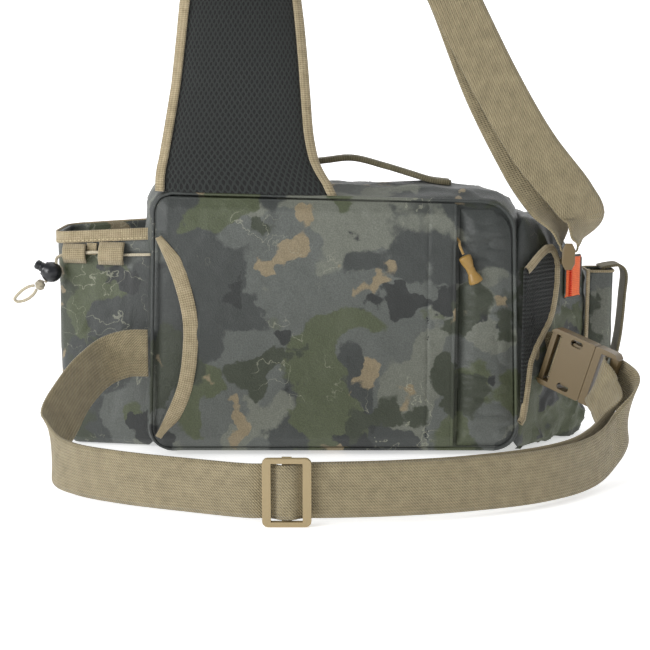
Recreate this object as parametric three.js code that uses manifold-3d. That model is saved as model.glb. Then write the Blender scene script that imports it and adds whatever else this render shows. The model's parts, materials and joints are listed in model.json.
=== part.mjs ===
// A fishing tackle sling bag, in millimetres. The bag stands on z = 0 with X to the right, Y away from
// the wearer's back panel and Z up. The last group moves the origin to the inner side of the strap arch.
import * as THREE from 'three';
import { mergeVertices } from 'three/addons/utils/BufferGeometryUtils.js';
import Module from 'manifold-3d';

const wasm = await Module();
wasm.setup();

// Driving dimensions
const GAP = 0.3;
const CUT_TOLERANCE = 0.02;
const CLOTH = 2;
const WEBBING_WIDTH = 40;
const WEBBING = 1.6;
const body = { width: 316, height: 221, depth: 114, front: 8, crown: 10, topCrown: 6, footLift: 3 };
const bodyCorner = { topLeft: 18, topRight: 28, bottomRight: 22, bottomLeft: 20 };
const lean = { taper: 0.00022, slope: 0.00012 };
const panel = { thickness: 3, rim: 3.4, margin: 5, stitchLine: 78, flapEdge: 101, hollowLeft: 24 };
const piping = { radius: 2.1, inset: 2.4, depth: 5.4 };
const edgeTape = { width: 11.7, thickness: 1.4, low: 18, high: 186 };
const zip = { left: 84, width: 14, thickness: 1.6, low: 16, high: 200, teeth: 4.6, teethRise: 0.9 };
const pull = { slider: [8, 3.6, 9], cordRadius: 1.1, gripLength: 26, gripTop: 5.3 };
const handle = { width: 25, thickness: 4.4, y: 60 };
const pouch = { left: 150, root: 11.5, face: [159, 9], corner: [225, 75], back: [222, 112], backRoot: 116, top: 202, drop: 54 };
const pouchZip = { start: 58, width: 21, low: 129, high: 163, thickness: 1.6, teeth: 4.4,
  teethFrom: 5.5 };
const pouchTape = { width: 8, thickness: 2, low: 62, high: 150 };
const sidePocket = { x: [225.1, 250.5], y: [80, 112], z: [42, 148] };
const gearLoop = { width: 24, thickness: 2.2 };
const wing = { thickness: 3.4, line: 157.5, tape: 6, tapeThickness: 4.8 };
const tab = { height: 5, thickness: 1.6 };
const frameBuckle = { length: 50, height: 22, thickness: 10.6, bar: 4, slot: 5.6, slotLength: 42, chamfer: 2.6 };
const bottle = { top: 188, wall: 1.8, hem: 9, hemThickness: 1.2 };
const cord = { radius: 1.3, sides: 8 };
const lock = { ball: 9, bore: 4.5, button: 4.1, buttonLength: 15.5, stroke: 4, crossHole: 1.9 };
const pad = { thickness: 11, tape: 8, tapeThickness: 8 };
const slider = { width: 35, height: 50, thickness: 4.4, rail: 6.2, cap: 3.6, bar: 7, barThickness: 2.4 };
const clip = { width: 50.5, thickness: 12, bar: 4.5, slot: 6.5, female: 42, shoulder: 6.5, maleSlot: 9, male: 64 };
const rest = [-15, 15, 544];

// Materials, one for each finish
const finish = (color, roughness, metalness = 0) => new THREE.MeshStandardMaterial({ color, roughness, metalness });
const looks = {
  camo: finish(0x555b5c, 0.55),
  webbing: finish(0xa89a7c, 0.9),
  tape: finish(0x9c8c6c, 0.9),
  plastic: finish(0x9a8560, 0.45),
  pull: finish(0xb8924e, 0.4),
  mesh: finish(0x1e2423, 0.95),
  cord: finish(0xe8dcc0, 0.85),
  lock: finish(0x15171a, 0.3),
  orange: finish(0xff7235, 0.7),
  dark: finish(0x2c3130, 0.8),
  olive: finish(0x4a4636, 0.85),
};

const bag = new THREE.Group();

function piece(name, geometry, material) {
  const mesh = new THREE.Mesh(geometry, material);
  mesh.name = name;
  bag.add(mesh);
  return mesh;
}

const v3 = (p) => new THREE.Vector3(...p);
const lerp = (a, b, t) => a + (b - a) * t;

// Geometry from points and triangles, turned so that its faces point out
function closedBody(points, triangles) {
  const at = (i) => points[i];
  let volume = 0;
  for (const [a, b, c] of triangles) volume += at(a).dot(at(b).clone().cross(at(c)));
  const faces = volume < 0 ? triangles.map(([a, b, c]) => [a, c, b]) : triangles;
  const geometry = new THREE.BufferGeometry();
  geometry.setAttribute('position', new THREE.Float32BufferAttribute(points.flatMap((p) => [p.x, p.y, p.z]), 3));
  geometry.setIndex(faces.flat());
  return geometry;
}

// A closed body through rings of equal count, with flat or fanned ends
function loft(rings) {
  const count = rings[0].length;
  const points = rings.flat().map((p) => p.clone());
  const triangles = [];
  for (let r = 0; r + 1 < rings.length; r += 1) {
    for (let i = 0; i < count; i += 1) {
      const j = (i + 1) % count;
      const [a, b, c, d] = [r * count + i, r * count + j, (r + 1) * count + j, (r + 1) * count + i];
      triangles.push([a, b, c], [a, c, d]);
    }
  }
  for (const [first, turn] of [[0, true], [(rings.length - 1) * count, false]]) {
    const middle = points.length;
    const centre = new THREE.Vector3();
    for (let i = 0; i < count; i += 1) centre.addScaledVector(points[first + i], 1 / count);
    points.push(centre);
    for (let i = 0; i < count; i += 1) {
      const [a, b] = [first + i, first + ((i + 1) % count)];
      triangles.push(turn ? [middle, b, a] : [middle, a, b]);
    }
  }
  return closedBody(points, triangles);
}

// Joins and cuts
function toSolid(geometry) {
  const bare = geometry.clone();
  bare.deleteAttribute('normal');
  bare.deleteAttribute('uv');
  const merged = mergeVertices(bare, 1e-4);
  return new wasm.Manifold(new wasm.Mesh({
    numProp: 3,
    vertProperties: new Float32Array(merged.attributes.position.array),
    triVerts: new Uint32Array(merged.index.array),
  }));
}

function toGeometry(solid) {
  const mesh = solid.simplify(CUT_TOLERANCE).getMesh();
  const geometry = new THREE.BufferGeometry();
  geometry.setAttribute('position', new THREE.Float32BufferAttribute(mesh.vertProperties, 3));
  geometry.setIndex([...mesh.triVerts]);
  return geometry;
}

function cut(geometry, ...tools) {
  return toGeometry(tools.reduce((solid, tool) => solid.subtract(toSolid(tool)), toSolid(geometry)));
}

function join(geometry, ...others) {
  return toGeometry(others.reduce((solid, other) => solid.add(toSolid(other)), toSolid(geometry)));
}

function box(low, high) {
  const size = high.map((value, i) => value - low[i]);
  return new THREE.BoxGeometry(...size).translate(...low.map((value, i) => value + size[i] / 2));
}

// A flat outline given as [x, z] pairs, with its thickness from y0 to y1
function slab(outline, y0, y1) {
  const shape = new THREE.Shape(outline.map(([x, z]) => new THREE.Vector2(x, z)));
  const plate = new THREE.ExtrudeGeometry(shape, { depth: y1 - y0, bevelEnabled: false });
  return plate.rotateX(Math.PI / 2).translate(0, y1, 0);
}

// Convex outline moved outwards by grow, with its corners rounded
function roundedOutline(corners, grow, steps) {
  const count = corners.length;
  const ring = [];
  for (let i = 0; i < count; i += 1) {
    const [before, here, after] = [corners[(i + count - 1) % count], corners[i], corners[(i + 1) % count]];
    const inward = new THREE.Vector2(here[0] - before[0], here[1] - before[1]).normalize();
    const outward = new THREE.Vector2(after[0] - here[0], after[1] - here[1]).normalize();
    const half = Math.acos(THREE.MathUtils.clamp(-inward.dot(outward), -1, 1)) / 2;
    const bisector = outward.clone().sub(inward).normalize();
    const reach = -grow / Math.sin(half);
    const tip = new THREE.Vector2(here[0], here[1]).addScaledVector(bisector, reach);
    const radius = Math.max(here[2] + grow, 0.5);
    const centre = tip.clone().addScaledVector(bisector, radius / Math.sin(half));
    const normals = [new THREE.Vector2(inward.y, -inward.x), new THREE.Vector2(outward.y, -outward.x)];
    const side = bisector.dot(normals[0]) > 0 ? -1 : 1;
    for (let k = 0; k <= steps; k += 1) {
      const normal = normals[0].clone().lerp(normals[1], k / steps).normalize().multiplyScalar(side * radius);
      ring.push([centre.x + normal.x, centre.y + normal.y]);
    }
  }
  return ring;
}

// A strip of even width and thickness through stations, each with a centre and a width direction
function stripRings(stations, steps, section) {
  const centres = new THREE.CatmullRomCurve3(stations.map((s) => v3(s.at)), false, 'centripetal');
  const spans = stations.length - 1;
  const rings = [];
  for (let i = 0; i <= spans * steps; i += 1) {
    const t = i / (spans * steps);
    const k = Math.min(Math.floor(t * spans), spans - 1);
    const share = t * spans - k;
    const tangent = centres.getTangent(t);
    const across = v3(stations[k].across).lerp(v3(stations[k + 1].across), share);
    if (!stations[k].level) across.addScaledVector(tangent, -across.dot(tangent));
    across.normalize();
    const normal = across.clone().cross(tangent).normalize();
    const half = lerp(stations[k].half ?? 0, stations[k + 1].half ?? 0, share);
    const centre = centres.getPoint(t);
    rings.push(section(half).map(([a, n]) => centre.clone().addScaledVector(across, a).addScaledVector(normal, n)));
  }
  return rings;
}

const rectangle = (a0, a1, n0, n1) => [[a0, n0], [a1, n0], [a1, n1], [a0, n1]];

function webbing(stations, width = WEBBING_WIDTH, thickness = WEBBING, steps = 4) {
  return loft(stripRings(stations, steps, () => rectangle(-width / 2, width / 2, -thickness / 2, thickness / 2)));
}

function roundCord(points, radius = cord.radius, steps = 4, sides = cord.sides) {
  const path = new THREE.CatmullRomCurve3(points.map(v3), false, 'centripetal');
  const disc = new THREE.Shape();
  for (let i = 0; i < sides; i += 1) {
    const turn = (i / sides) * 2 * Math.PI;
    const spot = [radius * Math.cos(turn), radius * Math.sin(turn)];
    if (i === 0) disc.moveTo(...spot);
    else disc.lineTo(...spot);
  }
  return new THREE.ExtrudeGeometry(disc, { steps: steps * (points.length - 1), extrudePath: path, bevelEnabled: false });
}

// Places a piece that was made in its own frame: origin and the directions of its three axes
function place(mesh, origin, axes) {
  mesh.position.set(...origin);
  mesh.quaternion.setFromRotationMatrix(new THREE.Matrix4().makeBasis(...axes));
  return mesh;
}

// Main body

// The back seam's outline, as a lopsided rounded rectangle
function seamOutline(grow, side = 0, top = 0, lift = 1, steps = 5) {
  const half = body.width / 2 + side * body.crown;
  const high = body.height + top * body.topCrown;
  const low = lift * body.footLift;
  const corners = [
    [-half, high, bodyCorner.topLeft],
    [-half, low, bodyCorner.bottomLeft],
    [half, low, bodyCorner.bottomRight],
    [half, high, bodyCorner.topRight],
  ];
  const leaned = ([x, z]) => [x * (1 - lean.taper * z), z * (1 - lean.slope * x)];
  return roundedOutline(corners, grow, steps).map(leaned);
}

const topAt = (x, share = 1) => (body.height + share * body.topCrown) * (1 - lean.slope * x);
const seamX = (z, side = 1) => (side * body.width / 2) * (1 - lean.taper * z);

// Cross sections from the back seam to the front, as shares of the depth, the crowns and the foot's lift
const bodySections = [
  { depth: 0, side: 0, top: 0, lift: 1 },
  { depth: 0.06, side: 0.35, top: 0.35, lift: 0.35 },
  { depth: 0.2, side: 0.8, top: 0.8, lift: 0 },
  { depth: 0.48, side: 1, top: 1, lift: 0 },
  { depth: 0.78, side: 0.8, top: 0.5, lift: 0 },
  { depth: 0.93, side: 0.2, top: -0.6, lift: 0.4 },
  { depth: 1, side: -0.9, top: -2.4, lift: 2.4 },
];

function bodyForm(grow) {
  const length = body.depth + 2 * grow;
  return loft(bodySections.map(({ depth, side, top, lift }) => {
    const y = body.front - grow + depth * length;
    return seamOutline(grow, side, top, lift).map(([x, z]) => new THREE.Vector3(x, y, z));
  }));
}

const zipSlot = box([zip.left, body.front - 2, zip.low], [zip.left + zip.width, body.front + CLOTH + 2, zip.high]);
piece('bag_body', cut(bodyForm(0), bodyForm(-CLOTH), zipSlot), looks.camo);

// Back panel with its hollowed left edge and the flap over the zip

// The left edge: height and how far it is drawn in from the seam, as shares of its own sizes
const hollowEdge = [
  { height: 0, drawn: 0.12 },
  { height: 0.1, drawn: 0.42 },
  { height: 0.25, drawn: 0.83 },
  { height: 0.42, drawn: 1 },
  { height: 0.6, drawn: 0.98 },
  { height: 0.78, drawn: 0.66 },
  { height: 0.9, drawn: 0.33 },
  { height: 1, drawn: 0.02 },
];

const hollowPoint = ({ height, drawn }) => {
  const z = lerp(edgeTape.low, edgeTape.high, height);
  return [seamX(z, -1) + panel.margin + drawn * panel.hollowLeft, z];
};
const hollowCurve = new THREE.CatmullRomCurve3(hollowEdge.map(hollowPoint).map(([x, z]) => new THREE.Vector3(x, 0, z)));
const hollowLine = hollowCurve.getPoints(14).map((p) => [p.x, p.z]);

function panelOutline(right) {
  const edge = seamOutline(-panel.margin).filter(([x, z]) => x < right && (x > -100 || z < edgeTape.low - 2
    || z > edgeTape.high + 2));
  const upperLeft = edge.filter(([x, z]) => x < 0 && z > 100);
  const lowerLeft = edge.filter(([x, z]) => x < 0 && z < 100);
  const top = topAt(right, 0) - panel.margin;
  const low = body.footLift + panel.margin;
  return [[right, top], ...upperLeft, ...[...hollowLine].reverse(), ...lowerLeft, [right, low]];
}

const backGap = body.front - GAP;
const panelPlate = slab(panelOutline(panel.flapEdge), 0, backGap);
const slotTop = topAt(0, 0) - panel.margin - panel.rim - 2;
const slotLow = body.footLift + panel.margin + panel.rim;
const slotCut = slab([
  [seamX(0, -1) - 10, slotLow + 10], [seamX(0, -1) + 40, slotLow],
  [panel.stitchLine, slotLow], [panel.stitchLine, slotTop - 1], [seamX(0, -1) + 40, slotTop],
  [seamX(0, -1) - 10, slotTop - 26],
], panel.thickness, body.front + 1);
const underFlap = box([panel.stitchLine + panel.rim, panel.thickness, -5],
  [panel.flapEdge + 5, body.front + 1, body.height + 20]);
piece('back_panel', cut(panelPlate, slotCut, underFlap), looks.camo);

// Tape bound along the hollow edge, lying on the panel
function tapeAlongHollow() {
  const rings = [];
  const count = 20;
  for (let i = 0; i <= count; i += 1) {
    const t = i / count;
    const p = hollowCurve.getPoint(t);
    const d = hollowCurve.getTangent(t);
    const inward = new THREE.Vector3(d.z, 0, -d.x);
    const ends = Math.min(1, 0.25 + 4 * Math.min(t, 1 - t));
    const inner = p.clone().addScaledVector(inward, edgeTape.width * ends);
    const [front, back] = [-GAP - edgeTape.thickness, -GAP];
    rings.push([[p, front], [inner, front], [inner, back], [p, back]].map(([q, y]) => new THREE.Vector3(q.x, y, q.z)));
  }
  return loft(rings);
}
piece('left_edge_binding', tapeAlongHollow(), looks.tape);

// The padded strip right of the flap
function crownedStrip() {
  const left = panel.flapEdge + 3.5;
  const ring = (inset, y) => {
    const right = seamOutline(-panel.margin - inset).filter(([x]) => x > left);
    const low = right.filter(([, z]) => z < 100);
    const high = right.filter(([, z]) => z > 100);
    const ends = [[left + inset, topAt(left, 0) - panel.margin - inset], [left + inset, slotLow - panel.rim + inset]];
    return [...low, ...high, ...ends].map(([x, z]) => new THREE.Vector3(x, y, z));
  };
  return loft([ring(0, backGap), ring(0, 5), ring(3, 2), ring(9, 0.2)]);
}
piece('back_side_panel', crownedStrip(), looks.camo);

// Piping all round the back seam
const seamLine = seamOutline(-piping.inset).map(([x, z]) => [x, piping.depth, z]);

function closedTube(line, radius, sides) {
  const rings = line.map((point, i) => {
    const before = v3(line[(i + line.length - 1) % line.length]);
    const after = v3(line[(i + 1) % line.length]);
    const tangent = after.sub(before).normalize();
    const up = new THREE.Vector3(0, 1, 0);
    const out = tangent.clone().cross(up).normalize();
    return Array.from({ length: sides }, (_, k) => {
      const turn = (k / sides) * 2 * Math.PI;
      return v3(point).addScaledVector(out, radius * Math.cos(turn)).addScaledVector(up, radius * Math.sin(turn));
    });
  });
  const triangles = [];
  rings.forEach((ring, r) => {
    const next = ((r + 1) % rings.length) * sides;
    for (let i = 0; i < sides; i += 1) {
      const j = (i + 1) % sides;
      triangles.push([r * sides + i, r * sides + j, next + j], [r * sides + i, next + j, next + i]);
    }
  });
  return closedBody(rings.flat(), triangles);
}
piece('back_seam_piping', closedTube(seamLine, piping.radius, 6), looks.dark);

// Zip under the flap, its slider, cord and grip
const zipMiddle = zip.left + zip.width / 2;
const zipFace = body.front + 0.1;
const zipTape = box([zip.left + GAP, zipFace, zip.low + GAP],
  [zip.left + zip.width - GAP, zipFace + zip.thickness, zip.high - GAP]);
const zipTeeth = box([zipMiddle - zip.teeth / 2, zipFace - zip.teethRise, zip.low + 2],
  [zipMiddle + zip.teeth / 2, zipFace + 0.5, zip.high - 2]);
piece('back_zip', join(zipTape, zipTeeth), looks.dark);

const sliderZ = 188;
const sliderBack = zipFace - zip.teethRise - GAP;
piece('zip_slider', box([zipMiddle - pull.slider[0] / 2, sliderBack - pull.slider[1], sliderZ - pull.slider[2] / 2],
  [zipMiddle + pull.slider[0] / 2, sliderBack, sliderZ + pull.slider[2] / 2]), looks.pull);

const pullCordPath = [
  [zipMiddle + pull.slider[0] / 2 + GAP + 0.1, 5.3, sliderZ - 1],
  [99.6, 5.4, 186],
  [103, 3.2, 183.2],
  [103.6, -0.8, 179.2],
  [105, -4, 175.4],
  [106.3, -5.2, 172.4],
];
piece('zip_pull_cord', roundCord(pullCordPath, pull.cordRadius, 3, 6), looks.pull);

// Grip with a waist, hanging from the cord
const gripRows = [
  { along: 0, round: 0.55 },
  { along: 0.06, round: 1 },
  { along: 0.22, round: 0.94 },
  { along: 0.45, round: 0.68 },
  { along: 0.62, round: 0.7 },
  { along: 0.85, round: 1.1 },
  { along: 0.94, round: 1.13 },
  { along: 1, round: 0.85 },
];
function grip() {
  const profile = [new THREE.Vector2(0, 0)];
  for (const { along, round } of gripRows) profile.push(new THREE.Vector2(round * pull.gripTop, along * pull.gripLength));
  profile.push(new THREE.Vector2(0, pull.gripLength));
  return toGeometry(toSolid(new THREE.LatheGeometry(profile, 10).scale(1, 1, 0.72)));
}
const gripAxis = new THREE.Vector3(0.43, -0.03, -0.9).normalize();
const gripSide = new THREE.Vector3(0.9, 0, 0.43).normalize();
const gripFace = gripSide.clone().cross(gripAxis).normalize();
place(piece('zip_pull_grip', grip(), looks.pull), [106.6, -5.4, 171.9], [gripSide, gripAxis, gripFace]);

// Carry handle on the top, seen edge on
const handleRows = [
  { x: -84, rise: 0 },
  { x: -62, rise: 5 },
  { x: -32, rise: 12 },
  { x: -6, rise: 16 },
  { x: 16, rise: 18.5 },
  { x: 44, rise: 12.5 },
  { x: 66, rise: 6.5 },
  { x: 84, rise: 1.6 },
  { x: 100, rise: 0 },
];
const handleFoot = handle.thickness / 2 + GAP + 0.2;
const handleStations = handleRows.map(({ x, rise }) => ({
  at: [x, handle.y, topAt(x) + handleFoot + rise],
  across: [0, 1, 0],
}));
piece('carry_handle', webbing(handleStations, handle.width, handle.thickness, 3), looks.olive);

// Right end pouch, its face at 45 degrees to the back panel

const pouchPlan = [
  [pouch.left, pouch.root, 2],
  [pouch.face[0] + pouch.root - pouch.face[1], pouch.root, 1],
  [...pouch.corner, 10],
  [...pouch.back, 14],
  [pouch.left, pouch.backRoot, 2],
];
const pouchTop = (x) => pouch.top - pouch.drop * THREE.MathUtils.clamp((x - 158) / 68, 0, 1) ** 1.5;

// Rows from the foot up: share of the height and how far the wall is drawn in
const pouchRows = [
  { height: 0, drawn: 11 },
  { height: 0.03, drawn: 4 },
  { height: 0.1, drawn: 0.5 },
  { height: 0.3, drawn: 0 },
  { height: 0.75, drawn: 0.5 },
  { height: 0.95, drawn: 2.5 },
  { height: 1, drawn: 7 },
];

function pouchForm(grow) {
  return loft(pouchRows.map(({ height, drawn }) => roundedOutline(pouchPlan, grow - drawn, 4)
    .map(([x, y]) => new THREE.Vector3(x, y, lerp(-grow, pouchTop(x) + grow, height)))));
}

const faceAlong = new THREE.Vector3(1, 1, 0).normalize();
const faceOut = new THREE.Vector3(1, -1, 0).normalize();
const faceUp = new THREE.Vector3(0, 0, 1);
const onFace = (s, off, z) => new THREE.Vector3(...pouch.face, z)
  .addScaledVector(faceAlong, s).addScaledVector(faceOut, off);

function faceBox(s0, s1, off0, off1, z0, z1) {
  const matrix = new THREE.Matrix4().makeBasis(faceAlong, faceOut.clone().negate(), faceUp)
    .setPosition(onFace((s0 + s1) / 2, (off0 + off1) / 2, (z0 + z1) / 2));
  return new THREE.BoxGeometry(s1 - s0, off1 - off0, z1 - z0).applyMatrix4(matrix);
}

const pouchSlot = faceBox(pouchZip.start, pouchZip.start + pouchZip.width, -9, 6, pouchZip.low, pouchZip.high);
const underBody = box([pouch.left - 10, 0, -5], [pouch.left + 15, pouch.backRoot + 5, 15]);
const pouchHollow = cut(pouchForm(-CLOTH), bodyForm(GAP + 0.1 + CLOTH), box([pouch.left - 10, 0, -5],
  [pouch.left + 15 + CLOTH, pouch.backRoot + 5, 15 + CLOTH]));
piece('end_pouch', cut(pouchForm(0), bodyForm(GAP + 0.1), underBody, pouchHollow, pouchSlot), looks.camo);

const endZipS = [pouchZip.start + GAP, pouchZip.start + pouchZip.width - GAP];
const endZipTape = faceBox(...endZipS, -2.6, -2.6 + pouchZip.thickness, pouchZip.low + GAP, pouchZip.high - GAP);
const teethS = endZipS[0] + pouchZip.teethFrom;
const endZipTeeth = faceBox(teethS - pouchZip.teeth / 2, teethS + pouchZip.teeth / 2, -2, -0.4,
  pouchZip.low + 1.5, pouchZip.high - 1.5);
piece('end_zip', join(endZipTape, endZipTeeth), looks.orange);

// Folded tape down the pouch's outer corner
const pouchTapeRows = [0, 0.25, 0.5, 0.75, 1].map((share) => ({
  at: [pouch.corner[0] - 1.2, pouch.corner[1] - 3.4, lerp(pouchTape.low, pouchTape.high, share)],
  across: [0.35, 0.94, 0],
}));
piece('pouch_piping', webbing(pouchTapeRows, pouchTape.width, pouchTape.thickness, 1), looks.tape);

// Slim pocket on the pouch's end, open at the top
const pocketOuter = box([sidePocket.x[0], sidePocket.y[0], sidePocket.z[0]],
  [sidePocket.x[1], sidePocket.y[1], sidePocket.z[1]]);
const pocketInner = box([sidePocket.x[0] + CLOTH, sidePocket.y[0] + CLOTH, sidePocket.z[0] + CLOTH],
  [sidePocket.x[1] - CLOTH, sidePocket.y[1] - CLOTH, sidePocket.z[1] + 5]);
piece('right_pocket', cut(pocketOuter, pocketInner), looks.camo);

const loopY = (sidePocket.y[0] + sidePocket.y[1]) / 2;
const loopSeat = gearLoop.thickness / 2 + GAP;
const loopRows = [
  { x: sidePocket.x[1] - 12, z: sidePocket.z[1] + loopSeat },
  { x: sidePocket.x[1] - 4, z: sidePocket.z[1] + 3.2 },
  { x: sidePocket.x[1] + 5, z: sidePocket.z[1] + 3.6 },
  { x: sidePocket.x[1] + 10, z: sidePocket.z[1] - 2 },
  { x: sidePocket.x[1] + 9.6, z: sidePocket.z[1] - 24 },
  { x: sidePocket.x[1] + 7, z: sidePocket.z[1] - 60 },
  { x: sidePocket.x[1] + 3.2, z: sidePocket.z[1] - 82 },
  { x: sidePocket.x[1] + loopSeat, z: sidePocket.z[1] - 92 },
  { x: sidePocket.x[1] + loopSeat, z: sidePocket.z[1] - 102 },
];
piece('right_webbing_loop', webbing(loopRows.map(({ x, z }) => ({ at: [x, loopY, z], across: [0, 1, 0] })),
  gearLoop.width, gearLoop.thickness, 3), looks.olive);

// Mesh wing over the pouch's face: x along the plan line, with the wing's lower and upper edges
const wingRows = [
  { x: 158.4, low: 27, high: 160.5 },
  { x: 161.4, low: 31, high: 163 },
  { x: 164.6, low: 56, high: 166 },
  { x: 167, low: 79, high: 168.5 },
  { x: 172, low: 90, high: 173 },
  { x: 178, low: 99.5, high: 177 },
  { x: 184, low: 109, high: 177 },
  { x: 187.6, low: 118.5, high: 172.5 },
  { x: 190, low: 131, high: 166.5 },
  { x: 191.4, low: 144, high: 160 },
];
const wingBend = 162;
const wingLine = (x) => (x < wingBend
  ? lerp(1.2, wingBend - wing.line, (x - wingRows[0].x) / (wingBend - wingRows[0].x)) : x - wing.line);
const wingOut = (x) => (x < wingBend ? new THREE.Vector3(0.5, -0.86, 0) : faceOut.clone());

function wingPoint([x, z], off) {
  return new THREE.Vector3(x, wingLine(x), z).addScaledVector(wingOut(x), off);
}

function wingPlate() {
  const half = wing.thickness / 2;
  return loft(wingRows.map(({ x, low, high }) => [[low, -half], [high, -half], [high, half], [low, half]]
    .map(([z, off]) => wingPoint([x, z], off))));
}

// A strip that follows an edge line in the wing's plane, from outer to inner
function wingStrip(line, from, to, half) {
  return loft(line.map((p, i) => {
    const before = line[Math.max(i - 1, 0)];
    const after = line[Math.min(i + 1, line.length - 1)];
    const run = new THREE.Vector2((after[0] - before[0]) * Math.SQRT2, after[1] - before[1]).normalize();
    const inward = [-run.y / Math.SQRT2, run.x];
    return [[from, -half], [to, -half], [to, half], [from, half]]
      .map(([w, off]) => wingPoint([p[0] + inward[0] * w, p[1] + inward[1] * w], off));
  }));
}

const outerLine = wingRows.map(({ x, low }) => [x, low]);
outerLine.push([wingRows.at(-1).x, wingRows.at(-1).high]);
const upperLine = [...wingRows].reverse().map(({ x, high }) => [x, high]);
const tapeHalf = wing.tapeThickness / 2;

// The same edge line, run straight on past both its ends
function runOn(line) {
  const past = (end, next) => [2 * end[0] - next[0], 2 * end[1] - next[1]];
  return [past(line[0], line[1]), ...line, past(line.at(-1), line.at(-2))];
}
const wingGap = GAP + 0.2;
piece('right_wing', cut(wingPlate(), wingStrip(runOn(outerLine), -8, wing.tape + wingGap, tapeHalf + 1),
  wingStrip(runOn(upperLine), -8, wing.tape + wingGap, tapeHalf + 1)), looks.mesh);
piece('wing_binding', wingStrip(outerLine, 0, wing.tape, tapeHalf), looks.tape);
piece('wing_top_binding', cut(wingStrip(upperLine, 0, wing.tape, tapeHalf),
  wingStrip(runOn(outerLine), -3, wing.tape + wingGap, tapeHalf + 1)), looks.tape);

// Strap buckle: an eight-sided frame with two slots, its bars along the strap's width
const buckleBar = new THREE.Vector3(0.18, 0.975, -0.12).normalize();
const buckleUp = new THREE.Vector3(0, 0, 1);
buckleUp.addScaledVector(buckleBar, -buckleUp.dot(buckleBar)).normalize();
const buckleOut = buckleBar.clone().cross(buckleUp).normalize();
const buckleCentre = new THREE.Vector3(197.3, 20.5, 167.5);
const buckleAt = (along, out, up) => buckleCentre.clone().addScaledVector(buckleBar, along)
  .addScaledVector(buckleOut, out).addScaledVector(buckleUp, up).toArray();

function octagonFrame() {
  const { length, height, thickness, bar, slot, slotLength, chamfer } = frameBuckle;
  const [h, t, c] = [height / 2, thickness / 2, chamfer];
  const points = [[-t + c, -h], [t - c, -h], [t, -h + 2 * c], [t, h - 2 * c], [t - c, h], [-t + c, h],
    [-t, h - 2 * c], [-t, -h + 2 * c]];
  const shape = new THREE.Shape(points.map(([x, y]) => new THREE.Vector2(x, y)));
  const frame = new THREE.ExtrudeGeometry(shape, { depth: length, bevelEnabled: false }).translate(0, 0, -length / 2);
  const slotAt = (low) => box([-t - 1, low, -slotLength / 2], [t + 1, low + slot, slotLength / 2]);
  return cut(frame, slotAt(h - bar - slot), slotAt(-h + bar));
}
place(piece('strap_buckle', octagonFrame(), looks.plastic), buckleCentre.toArray(), [buckleOut.clone().negate(), buckleUp, buckleBar]);

const tabZ = -frameBuckle.height / 2 + frameBuckle.bar + frameBuckle.slot / 2;
const tabRows = [
  { at: onFace(30, 1.6, 160.9).toArray(), across: [0, 0, 1] },
  { at: onFace(44, 1.6, 160.8).toArray(), across: [0, 0, 1] },
  { at: buckleAt(18, -5, tabZ), across: [0, 0, 1] },
  { at: buckleAt(17, 4, tabZ), across: [0, 0, 1] },
];
piece('wing_webbing_tab', webbing(tabRows, tab.height, tab.thickness, 3), looks.webbing);

// Frame with a window and a bar behind it, over which a doubled webbing is threaded
function threadedSlider() {
  const { width, height, thickness, rail, cap, bar, barThickness } = slider;
  const shape = new THREE.Shape(roundedOutline([[-width / 2, height / 2, 4], [-width / 2, -height / 2, 4],
    [width / 2, -height / 2, 4], [width / 2, height / 2, 4]], 0, 3).map(([x, y]) => new THREE.Vector2(x, y)));
  const plate = new THREE.ExtrudeGeometry(shape, { depth: thickness, bevelEnabled: false });
  const window = box([-width / 2 + rail, -height / 2 + cap, -1], [width / 2 - rail, height / 2 - cap, thickness + 1]);
  const centreBar = box([-bar / 2, -height / 2, -barThickness], [bar / 2, height / 2, 0.2]);
  return join(cut(plate, window), centreBar);
}

// The webbing's way through a slider: along it, and how far it stands out in front of its own line
const threadRows = [
  { along: -26, out: 0 }, { along: -15.5, out: 0 }, { along: -9, out: 1.3 }, { along: -4, out: 4.6 },
  { along: 4, out: 4.6 }, { along: 9, out: 1.3 }, { along: 15.5, out: 0 }, { along: 26, out: 0 },
];
const threaded = (at, across) => threadRows.map(({ along, out }) => ({ at: at(along, -out), across }));
const sliderSeat = 1.9;

// The sling's slider sits on the straight stretch of the strap
const slopeAcross = [0.86, 0, 0.5];
const slideCentre = new THREE.Vector3(83, 20, 407);
const slideAlong = new THREE.Vector3(0.464, 0, -0.886).normalize();
const slidePoint = (along, back) => slideCentre.clone().addScaledVector(slideAlong, along)
  .add(new THREE.Vector3(0, back, 0)).toArray();
const slideAxes = [slideAlong, new THREE.Vector3(0.886, 0, 0.464), new THREE.Vector3(0, -1, 0)];
place(piece('strap_slider', threadedSlider(), looks.plastic), slidePoint(0, -sliderSeat), slideAxes);

// Sling strap: the front layer comes down and turns under the buckle's top bar, the back layer goes up again
const barAcross = buckleBar.toArray();
const topBar = frameBuckle.height / 2 - frameBuckle.bar / 2;
const frontLayer = [
  { at: [26, 18.6, 514.4], across: [0.41, 0.91, 0] },
  { at: [38, 19.8, 492], across: [0.6, 0.74, 0.3] },
  { at: [54, 20, 461], across: [0.76, 0.46, 0.45] },
  ...threaded(slidePoint, slopeAcross),
  { at: [134, 20, 309.5], across: slopeAcross },
  { at: [166, 19.4, 257.5], across: [0.9, 0, 0.42] },
  { at: [198, 18.6, 218.5], across: [0.95, 0.2, 0.2] },
  { at: [209, 18.6, 201.6], across: [0.91, 0.4, 0.08] },
  { at: buckleAt(0, 7.4, topBar + 6), across: [0.35, 0.93, -0.1] },
  { at: buckleAt(0, 7.3, topBar + 0.5), across: barAcross },
  { at: buckleAt(0, 6.2, topBar - 4.2), across: barAcross },
  { at: buckleAt(0, 0.4, topBar - 4.9), across: barAcross },
];
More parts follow.
